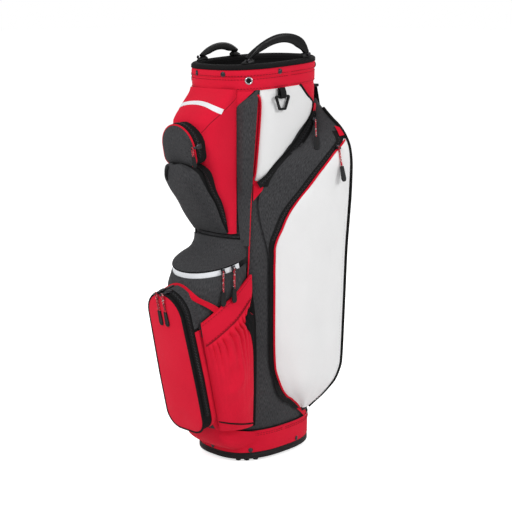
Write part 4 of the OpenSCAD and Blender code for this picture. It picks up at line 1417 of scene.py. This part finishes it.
# Bottle pouches
def pouch_cloth(f, r, out=0.0):
    """The pouch's cloth, tight and nipped in at its cuff and gathered under it."""
    below = lerp(0.794, 0.849, f) - r
    middle = math.sin(math.pi * f)
    if below > 0:
        fade = math.exp(-below * 6.5) * ease(below * 24) * middle ** 0.6
        gather = 6.5 * fade * math.sin(2 * math.pi * (10 * f + 0.6 * math.sin(7 * f)))
        slack = middle * math.sin(math.pi * clamp01(r / 0.84))
        gather += 17.0 * slack * (0.3 - abs(noise.noise(Vector((f * 1.9 + r * 2.6, r * 2.4 - f * 1.2, 3.3)))))
        gather += 3.0 * slack * noise.noise(Vector((f * 4 + r * 3, r * 7, 8)))
        gather += 5.0 * ease(below * 36) * middle ** 0.7
    else:
        gather = -1.5 * middle
    nip = 1 - 0.045 * ease((r - 0.62) / 0.2) - 0.09 * math.exp(-((r - 0.8) / 0.05) ** 2)
    return pouch(f * nip, r, out + gather)


def pouch_tracks(height_front, height_rear, out, ends=0.01, count=50):
    """Tracks across both pouches, between two heights at their front and rear seams."""
    track = []
    for f in spread(ends, 1 - ends, count):
        p, q = (pouch_cloth(f, lerp(height_front, height_rear, f), d) for d in (out, out + 4))
        track.append((p, (q - p).normalized()))
    return both_sides(track)


rows = [[pouch_cloth(f, r) for f in spread(0, 1, 72)] for r in spread(0, 1, 84)]
rows.insert(0, [lerp(pouch(f, 0), Vector((60, -110 - 40 * (1 - f), 82)), 0.8) for f in spread(0, 1, 72)])
pair("bottle_pouch", rows, RED, 2.2, "bottle_pouches", (40, -110, 240))
trim_piece("pouch_cuff_trim", pouch_tracks(1, 1, -0.4), round_section(2.0), RED_TRIM)
# The dark line along the cuff's lower edge is a real seam, made dark as painted shade for the shadow line
# under the cuff.
trim_piece("pouch_cuff_seam", pouch_tracks(0.8, 0.855, 2.4), round_section(1.6), RED_THREAD)
runs = pouch_tracks(0.985, 0.985, 2.3) + pouch_tracks(0.815, 0.868, 2.3)
seam_piece("pouch_stitching", runs, RED_THREAD)
trim_piece("pouch_foot_piping", pouch_tracks(0.085, 0.012, 2.2, 0, 40), round_section(1.9), BLACK)
line = [(0.03, 0.014), (0.2, 0.018), (0.41, 0.035), (0.5, 0.06), (0.6, 0.105), (0.68, 0.17), (0.73, 0.2),
        (0.78, 0.15), (0.82, 0.05)]
rows = [[pouch_cloth(f, r, 3.0) for f in spread(1 - lookup(r, line), 1, 14)] for r in spread(0.03, 0.82, 60)]
pair("pouch_side_mesh", rows, BLACK, 0.8)


# Tube side: strap sleeves, light upper panels, rear yokes and their edges
def between(left, right, count):
    return lambda z: spread(lookup(z, left), lookup(z, right), count)


def sleeve(f, z):
    t = lerp(lookup(z, SLEEVE_LEFT), lookup(z, SLEEVE_RIGHT), f)
    rise = ease(f / 0.45) * ease((z - 560) / 50) * ease((792 - z) / 30)
    return tube(t, z, 2.4 + 7.5 * rise + crease(tube(t, z), 45, 1.2))


def tube_trim(name, knots, section, finish, rise):
    """A trim along a curve on the tube, on both sides."""
    trim_piece(name, both_sides(trace(tube, knots, 60, 1.0, rise=rise)), section, finish)


rows = [[sleeve(f, z) for f in spread(0, 1, 16)] for z in spread(471, 797, 44)]
pair("strap_sleeve", rows, CHARCOAL, 1.8, "strap_sleeves")
across = between([(600, -46), (786, -42)], SLOT_EDGE, 8)
pair("sleeve_slot_lining", panel(tube, across, spread(600, 788, 24), puff=2.2), RED_TRIM, 1.2)
across = between([(604, -36), (620, -35), (797, -31)], WHITE_EDGE, 24)
rows = panel(tube, across, spread(604, 797, 36), 1.2, 60, 3.4)
pair("upper_white_panel", rows, WHITE, 2.0, "upper_side_panels")
across = between([(740, 46), (757, 39), (774, 21), (797, 9)], [(740, 68), (797, 68)], 24)
pair("rear_yoke", panel(tube, across, spread(740, 797, 14), 1.0, 50, 2.8), RED, 1.8)
tube_trim("sleeve_piping", [(t, z) for z, t in SLEEVE_LEFT], round_section(1.6), BLACK, 2.6)
knots = [(-45, 405), (-43.8, 442), (-42.6, 505), (-41.4, 560), (-40, 600)]
tube_trim("sleeve_low_piping", knots, round_section(1.5), RED_TRIM, 3.0)
tube_trim("slot_piping", [(t - 1.0, z) for z, t in SLOT_EDGE], round_section(2.8), RED_TRIM, 4.2)
knots = [(8.5, 797), (20.5, 774), (38, 757), (46, 745), (52, 735)]
tube_trim("yoke_piping", knots, round_section(2.4), BLACK, 3.6)
across = between([(80, -39), (200, -40), (300, -48), (350, -55), (400, -52), (425, -46)],
                 [(80, -34), (200, -33), (300, -34), (350, -37), (400, -42), (425, -45)], 6)
pair("pouch_side_strip", panel(tube, across, spread(80, 424, 50), puff=1.6), BLACK, 1.2)
runs = [trace(tube, [(t, z) for t in spread(first, last, 10)], 60, 1.0, rise=1.2)
        for z, first, last in ((494, -128, -52), (487, -126, -54), (480, -124, -56))]
trim_piece("waist_seams", runs, round_section(0.8, 6), BLACK)
across = between([(742, -64), (800, -64)], [(742, -57), (758, -56), (776, -46), (797, -34), (800, -33)], 14)
pair("shoulder_panel", panel(tube, across, spread(742, 800, 20), 0.8, 40, 2.0), RED, 1.4)


# Side pockets
def light_face(f, z, out=0.0):
    """The pale face, with long soft folds that die out at its edges."""
    calm = clamp01(min((f - 0.1) * 6, (0.97 - f) * 8))
    fold = noise.noise(Vector((f * 4.6 + z * 0.0015, z * 0.0045, 2.7)))
    return side_face(f, z, 3.2 + out + 3.4 * calm * fold)


def face_span(z):
    return (side_face(1, z) - side_face(0, z)).length


def side_or_tube(f, z, out=0.0):
    """The side pocket's face, carried on over the tube in front of it."""
    if f >= 0:
        return side_face(f, z, out)
    return tube(lookup(z, SIDE_FRONT) + f * face_span(z) / 1.75, z, 3 + out)


def band_point(z, s, out=0.0):
    """A point on the dark zip band, s from 0 at its front edge to 1 at the pale face."""
    f = lookup(z, FACE_FRONT) + FACE_EDGE - (1 - s) * lookup(z, BAND_WIDE) / face_span(z)
    return side_or_tube(f, z, 1.6 + out)


def side_tracks(share, low, high, steps, count, rise):
    """Tracks up both side pockets, at a share of their width by height."""
    knots = [(share(z), z) for z in spread(low, high, steps)]
    return both_sides(trace(side_face, knots, count, 0.01, rise=rise))


rows = [[side_point(g, z) for g in spread(0, 2, 52)] for z in spread(88, 762, 72)]
pair("side_pocket", rows, CHARCOAL, 2.2, "apparel_pockets")
rows = panel(light_face, lambda z: spread(lookup(z, FACE_FRONT) + FACE_EDGE, 0.97, 30), spread(98, 684, 80),
             puff=2.0)
pair("side_pocket_face", rows, WHITE, 2.0, "apparel_faces")
rows = [[band_point(z, s, 0.9 * math.sin(math.pi * s)) for s in spread(0, 1, 8)] for z in spread(96, 700, 96)]
pair("side_face_band", rows, WEBBING, 1.4)
runs = side_tracks(lambda z: lookup(z, FACE_FRONT) + 0.022, 98, 681, 30, 160, 4.6)
trim_piece("side_face_piping", runs, round_section(2.2), RED_TRIM)
runs = []
for first, last in ((482, 690), (99, 165)):
    line = even([band_point(z, ZIP_LINE, 1.2) for z in spread(first, last, 60)], 60)
    runs += both_sides([(q, Vector((q.x, q.y * 0.3 - 50, 0)).normalized()) for q in line])
teeth_piece("side_band_teeth", runs)
runs = side_tracks(lambda z: 0.995, 100, 742, 24, 120, 4.4)
trim_piece("side_pocket_piping", runs, round_section(3.2), BLACK)
rows = [[side_or_tube(f * 9 / face_span(z), z, 1.8) for f in spread(-0.7, 1, 6)]
        for z in spread(594, 734, 40)]
pair("upper_zip_band", rows, WEBBING, 1.2)
seam_piece("side_face_stitching", side_tracks(lambda z: 0.93, 110, 650, 24, 120, 5.6), WHITE_THREAD)


def upper_zip_track(first, last, out):
    """A track along the upper side zip, from a share of its run to another."""
    c, ex, ey, end = UPPER_ZIP
    track = []
    for s in spread(first, last, 70):
        p = c + ex * math.cos(end * s) + ey * math.sin(end * s)
        level = Vector((p.x, p.y * 0.3, 0)).normalized()
        track.append((p + level * out, level))
    return track


trim_piece("side_zip_tapes", both_sides(upper_zip_track(-0.03, 1.03, -0.8)), tape_section(16, 1.0), WEBBING)
teeth_piece("side_zip_teeth", both_sides(upper_zip_track(0.0, 1.0, 0.1)), "side_zips")


def patch(name, surface, corners, du, rise):
    """A small red patch with four corners, sewn on both sides."""
    a, b, c, d = (Vector((u, v, 0)) for u, v in corners)
    rows = []
    for s in spread(0, 1, 8):
        row = []
        for r in spread(0, 1, 8):
            q = lerp(lerp(a, b, r), lerp(d, c, r), s)
            row.append(surface(q.x, q.y) + out_of(surface, q.x, q.y, du, 1.0) * rise)
        rows.append(row)
    pair(name, rows, RED_TRIM, 1.2)


patch("upper_zip_patch", tube, [(-39, 607), (-25, 606), (-28, 588), (-39, 566)], 1.0, 5.0)
patch("lower_zip_tab", side_face, [(0.83, 707), (0.97, 704), (0.98, 690), (0.84, 688)], 0.01, 4.5)
patch("upper_zip_tab", tube, [(33, 757), (43, 753), (40, 738), (30, 741)], 1.0, 9.0)
patch("lower_zip_patch", tube, [(8, 101), (16, 104), (32, 76), (25, 71)], 1.0, 5.0)

# Back pad: a ribbed front and a flat rear, held along the ribs, the rear and both ends
BACK_LOW, BACK_HIGH, BACK_ROWS = 96, 768, 64
BACK_FIRST, BACK_LAST, BACK_COLUMNS = 70, 110, 40
rows = []
for z in spread(BACK_LOW, BACK_HIGH, BACK_ROWS):
    v = min(1, min(z - BACK_LOW, BACK_HIGH - z) / 40)
    front, rear = [], []
    for t in spread(BACK_FIRST, BACK_LAST, BACK_COLUMNS):
        e = min(1, min(t - BACK_FIRST, BACK_LAST - t) / 6)
        channel = 0.5 + 0.5 * abs(math.sin(math.pi * (t - BACK_FIRST) / 10)) ** 0.6
        front.append(tube(t, z, 1.6 + 7.2 * math.sqrt(max(0, e * v)) * channel))
        rear.append(tube(t, z, 1.0))
    rows.append(front + rear[::-1])
back = Patchwork().grid(rows, wrap=True, core=(0, 121, 430)).piece("back_pad_mesh", MESH)
around = 2 * (BACK_COLUMNS + 1)
held = [j * around + i for j in range(BACK_ROWS + 1) for i in range(around)
        if i > BACK_COLUMNS or i % 10 == 0 or j in (0, BACK_ROWS)]
inflate(back, held, 3.0, 2.0)
soften(back, 60)
settle(back, stands_for="back_pad")
knots = [(70.5, z) for z in spread(104, 760, 16)]
knots += [(74, 767), (80, 768.5), (90, 768.5), (100, 768.5), (106, 767)]
knots += [(109.5, z) for z in spread(760, 104, 16)] + [(106, 97), (90, 95.5), (74, 97), (70.5, 104)]
trim_piece("back_pad_piping", [trace(tube, knots, 220, 1.0, rise=2.2)], round_section(2.0), BLACK)

# Shoulder strap: a padded cushion of rings along its hang, held along both edges and at both ends
CUSHION_RINGS, CUSHION_AROUND = 36, 32
rows = []
for k, z in enumerate(spread(469.3, 730.7, CUSHION_RINGS)):
    narrow = 1 - 0.3 * (1 - ease(min(k, CUSHION_RINGS - k) / 4))
    row = []
    for i in range(CUSHION_AROUND):
        a = 2 * math.pi * i / CUSHION_AROUND
        x = PAD_WIDTH / 2 * narrow * spow(math.cos(a), 0.45)
        y = PAD_THICK / 2 * narrow * spow(math.sin(a), 0.7)
        row.append(Vector((STRAP_X + x, strap_y(z) + PAD_THICK / 2 + y, z)))
    rows.append(row)
core = (STRAP_X, strap_y(600) - 2, 600)
pad = Patchwork().grid(rows, wrap=True, core=core).piece("strap_pad_cushion", CHARCOAL)
mend(pad, fill=40)
held = [j * CUSHION_AROUND + i for j in range(CUSHION_RINGS + 1) for i in range(CUSHION_AROUND)
        if i % 16 == 0 or j in (0, CUSHION_RINGS)]
inflate(pad, held, 2.5, 1.6)
soften(pad, 60)
settle(pad, stands_for="strap_pad")


def strap_track(x, rise, first, last, count, out):
    """A track along the strap, at a distance from its middle and above its rear."""
    return [(Vector((STRAP_X + x, strap_y(z) + rise, z)), out) for z in spread(first, last, count)]


BACKWARD = Vector((0, 1, 0))
runs = [strap_track(s * (PAD_WIDTH / 2 - 0.5), PAD_THICK / 2, 480, 720, 50, Vector((s, 0, 0)))
        for s in (-1, 1)]
trim_piece("strap_pad_piping", runs, round_section(1.5), BLACK)
runs = [strap_track(s * (PAD_WIDTH / 2 - 8), PAD_THICK, 484, 716, 50, BACKWARD) for s in (-1, 1)]
seam_piece("strap_pad_stitching", runs, GREY_THREAD)
runs = [strap_track(0, 0, first, last, 30, BACKWARD) for first, last in ((340, 470), (730, 786))]
trim_piece("strap_webbing_runs", runs, tape_section(WEBBING_WIDTH, 2.6), WEBBING, "strap_webbing")


def buckle(width, deep, high):
    """A moulded strap slide with a sunk front, a raised bar in it and a sunk rear."""
    obj = block((width, deep, high))
    choose(obj, facing(y=1))
    inset(1.6)
    shift(0, -deep * 0.25, 0)
    inset(0.8)
    shift(0, deep * 0.2, 0)
    choose(obj, facing(y=-1))
    inset(1.6)
    shift(0, deep * 0.2, 0)
    return spare(done(obj, 1.0))


copies = []
for size, y, z in (((WEBBING_WIDTH + 10, 8, 6), strap_y(466) + 4, 466),
                   ((WEBBING_WIDTH + 10, 8, 6), strap_y(734) + 4, 734),
                   ((44, 11, 13.7), tube_back(332) + 15.1, 332.9),
                   ((44, 18.8, 6), tube_back(789) + 10.1, 789.3)):
    copies.append((buckle(*size), Matrix.Translation((STRAP_X, y, z))))
copies_piece("strap_slides", copies, PLASTIC, "strap_hardware")

# Sliders and pulls
PIN_OUT, RIM_PIN = 6, 3.5
GRIP_LENGTH, GRIP_REACH, GRIP_SHARE = 31.5, 31, 0.55


def zip_slider():
    """A zip's slider with a bridge for its pull; X points out of the zip."""
    body = block((3, 9, 12), (1.5, 0, 0))
    choose(body, facing(z=-1))
    grow(1, 0.6, 1, (1.5, 0, -6))
    choose(body, facing(x=1))
    inset(1.2)
    shift(0.6, 0, 0)
    parts = [done(body, 0.5)]
    for s in (-1, 1):
        cheek = block((6, 1.6, 6), (5.5, s * 3.4, 0))
        choose(cheek, facing(x=1))
        grow(1, 1, 0.6, (8.5, s * 3.4, 0))
        parts.append(done(cheek, 0.4))
    pin = start("cylinder", vertices=16, radius=0.9 * MM, depth=7.6 * MM)
    choose(pin, every)
    bpy.ops.transform.rotate(value=math.radians(90), orient_axis="X", center_override=(0, 0, 0))
    shift(PIN_OUT, 0, 0)
    parts.append(done(pin, 0.2))
    return spare(joined(parts))


def rim_slider():
    """A slider for a pocket's rim: a body on the gusset, an arm over the door and a pin; Y out, Z forward."""
    body = block((10, 3, 13), (0, RIM_PIN, -7.5))
    choose(body, facing(y=1))
    inset(1.4)
    shift(0, 0.5, 0)
    choose(body, facing(z=1))
    extrude(0, 0, 0.6)
    grow(0.5, 1, 1, (0, RIM_PIN, 0))
    extrude(0, 0, FLAP_THICK + 2.4)
    parts = [done(body, 0.5)]
    pin = start("cylinder", vertices=20, radius=1.2 * MM, depth=8 * MM,
                location=(0, RIM_PIN * MM, (FLAP_THICK + 6) * MM))
    choose(pin, facing(z=1))
    extrude(0, 0, 0.1)
    grow(2, 2, 1, (0, RIM_PIN, 0))
    extrude(0, 0, 1.2)
    parts.append(done(pin, 0.25))
    return spare(joined(parts))


def pull_tab():
    """A tapered rubber grip with a hollow on each face; it hangs down from its top."""
    obj = block((8, 4, 2), (0, 0, -1))
    choose(obj, facing(z=-1))
    for drop, wide in ((9, 1.15), (9, 1.12), (7, 1.06), (5.2, 0.55)):
        extrude(0, 0, -drop)
        grow(wide, 1, 1)
    for s in (-1, 1):
        choose(obj, lambda c, n: n.y * s > 0.9 and -28 < c.z < -3)
        inset(0.9)
        shift(0, -s * 0.5, 0)
    return spare(done(obj, 0.8))


TAB = pull_tab()
SIDE_SLIDER = zip_slider()
RIM_SLIDER = rim_slider()


def slider_place(pin, angle):
    """The place of a side slider that faces along a heading, from its pin's."""
    turn = Matrix.Rotation(math.radians(angle - 90), 4, "Z")
    return Matrix.Translation(pin - heading(angle) * PIN_OUT) @ turn


def slider_piece(name, node, mesh, where):
    settle(Patchwork().copy(mesh, where).piece(name, GUNMETAL), node, node)


def hang_pull(name, pin, down, out, axis, length=PULL_LENGTH):
    """A cord loop around a slider's pin and the rubber grip on its end, smaller on a short pull."""
    across = down.cross(axis).normalized()
    share = min(1, length * GRIP_SHARE / GRIP_REACH)
    low = length - GRIP_LENGTH * share
    half = [(low + 2, 1.65), (low * 0.5, 1.65), (6, 2.1)]
    points = [pin + down * d - across * w for d, w in half]
    for a in spread(180, 0, 8):
        turn = math.radians(a)
        points.append(pin - down * 2.4 * math.sin(turn) + across * 2.7 * math.cos(turn))
    points += [pin + down * d + across * w for d, w in reversed(half)]
    line = even(points, 60)
    track = [(p, axis) for p in line]
    loop = trim_piece(f"{name}_loop", [track], round_section(CORD_RADIUS), CORD, body=name)
    to_grip = place(pin + down * low, -down, out) @ Matrix.Diagonal((1, 1, share, 1))
    settle(Patchwork().copy(TAB, to_grip).piece(f"{name}_grip", RUBBER), name, name)


# The scene's lower zip band is higher than the solids' zip, so its slider and pull are moved up to it
LOWER_SHIFT = band_point(682, ZIP_LINE, 5) - side_face(0.88, 664, 7)
for side, word in SIDES:
    for kind, angle, level, lean, move in (
            ("upper", 85, Vector((0.72, -0.69, 0)), 38, Vector((0, 0, 0))),
            ("lower", 75, heading(75), 18, LOWER_SHIFT)):
        pin = joint_at[f"{kind}_right_pull"] + move
        where = Matrix.Diagonal((side, 1, 1, 1)) @ slider_place(pin, angle)
        slider_piece(f"{kind}_zip_slider_{word}", f"{kind}_slider_{word}", SIDE_SLIDER, where)
        a = math.radians(lean)
        down = level * math.sin(a) - UP * math.cos(a)
        out = level * math.cos(a) + UP * math.sin(a)
        hang_pull(f"{kind}_pull_{word}", mirrored(pin, side), mirrored(down, side), mirrored(out, side),
                  Vector((-level.y * side, level.x, 0)))

for word, angle in (("front", 62), ("rear", 78)):
    out = heading(angle)
    pin = joint_at[f"cooler_{word}_pull"]
    slider_piece(f"cooler_zip_slider_{word}", f"cooler_slider_{word}", SIDE_SLIDER, slider_place(pin, angle))
    hang_pull(f"cooler_pull_{word}", pin, -UP, out, UP.cross(out))

for name, at, top, radius, depth, angle, length in (
        ("ball_{}_right", ball_at, BALL_LENGTH, BALL_RADIUS, BALL_DEPTH, -10, PULL_LENGTH),
        ("ball_{}_left", ball_at, BALL_LENGTH, BALL_RADIUS, BALL_DEPTH, 10, PULL_LENGTH),
        ("valuables_{}", valuables_at, VALUABLES_LENGTH, VALUABLES_RADIUS, VALUABLES_DEPTH, -86, SHORT_PULL)):
    a = math.radians(angle)
    middle = at(0, 0, 0)
    radial = at(-math.sin(a), math.cos(a), 0) - middle
    out = at(0, 0, 1) - middle
    origin = at(-radius * math.sin(a), top + radius * math.cos(a), depth)
    node = name.format("slider")
    slider_piece(f"{node}_body", node, RIM_SLIDER, place(origin, out, radial))
    pin = origin + radial * RIM_PIN + out * (FLAP_THICK + 6.2)
    hang_pull(name.format("pull"), pin, at(0, -1, 0) - middle, out, out, length)


# Camera, floor and light
def aim(obj, target):
    obj.rotation_euler = (Vector(target) - obj.location).to_track_quat("-Z", "Y").to_euler()


scene = bpy.context.scene
camera = bpy.data.objects.new("camera", bpy.data.cameras.new("camera"))
scene.collection.objects.link(camera)
camera.location = (1.9092, -1.9092, 0.975)
aim(camera, (0, 0, 0.43))
camera.data.lens = 89.47
camera.data.sensor_width = 36
camera.data.shift_x = 0.0048
camera.data.shift_y = -0.0040
camera.data.clip_end = 100
scene.camera = camera

floor = start("plane", size=60)
floor.name = "studio_floor"
paper = Finish("studio_paper")
seen = paper.node("ShaderNodeLightPath").outputs["Is Camera Ray"]
grain = paper.noise(paper.coords("Object"), 3.0, 3)
tone = paper.mix(paper.band(grain, 0.3, 0.7), srgb(243, 243, 243), srgb(240, 240, 240))
paper.shade(Base_Color=tone, Roughness=0.9, Specular_IOR_Level=0.1, Emission_Color=(1, 1, 1, 1),
            Emission_Strength=paper.maths("MULTIPLY", seen, 0.66))
floor.data.materials.append(paper.material)

for name, at, size, power in (("key", (-0.2, -2.9, 2.7), 1.0, 66), ("fill", (2.9, 0.6, 2.1), 1.2, 43),
                              ("back", (-1.0, 2.6, 2.6), 2.0, 30)):
    lamp = bpy.data.objects.new(f"{name}_light", bpy.data.lights.new(f"{name}_light", "AREA"))
    scene.collection.objects.link(lamp)
    lamp.location = at
    lamp.data.size = size
    lamp.data.energy = power
    aim(lamp, (0, 0, 0.45))

# The sky is white to the camera and dimmer as a light
world = bpy.data.worlds.new("studio")
scene.world = world
world.use_nodes = True
nodes, links = world.node_tree.nodes, world.node_tree.links
sky = nodes["Background"]
level = nodes.new("ShaderNodeMapRange")
level.inputs["To Min"].default_value = 0.44
level.inputs["To Max"].default_value = 1.0
links.new(nodes.new("ShaderNodeLightPath").outputs["Is Camera Ray"], level.inputs["Value"])
links.new(level.outputs[0], sky.inputs["Strength"])
sky.inputs["Color"].default_value = (1, 1, 1, 1)

scene.view_settings.view_transform = "Standard"
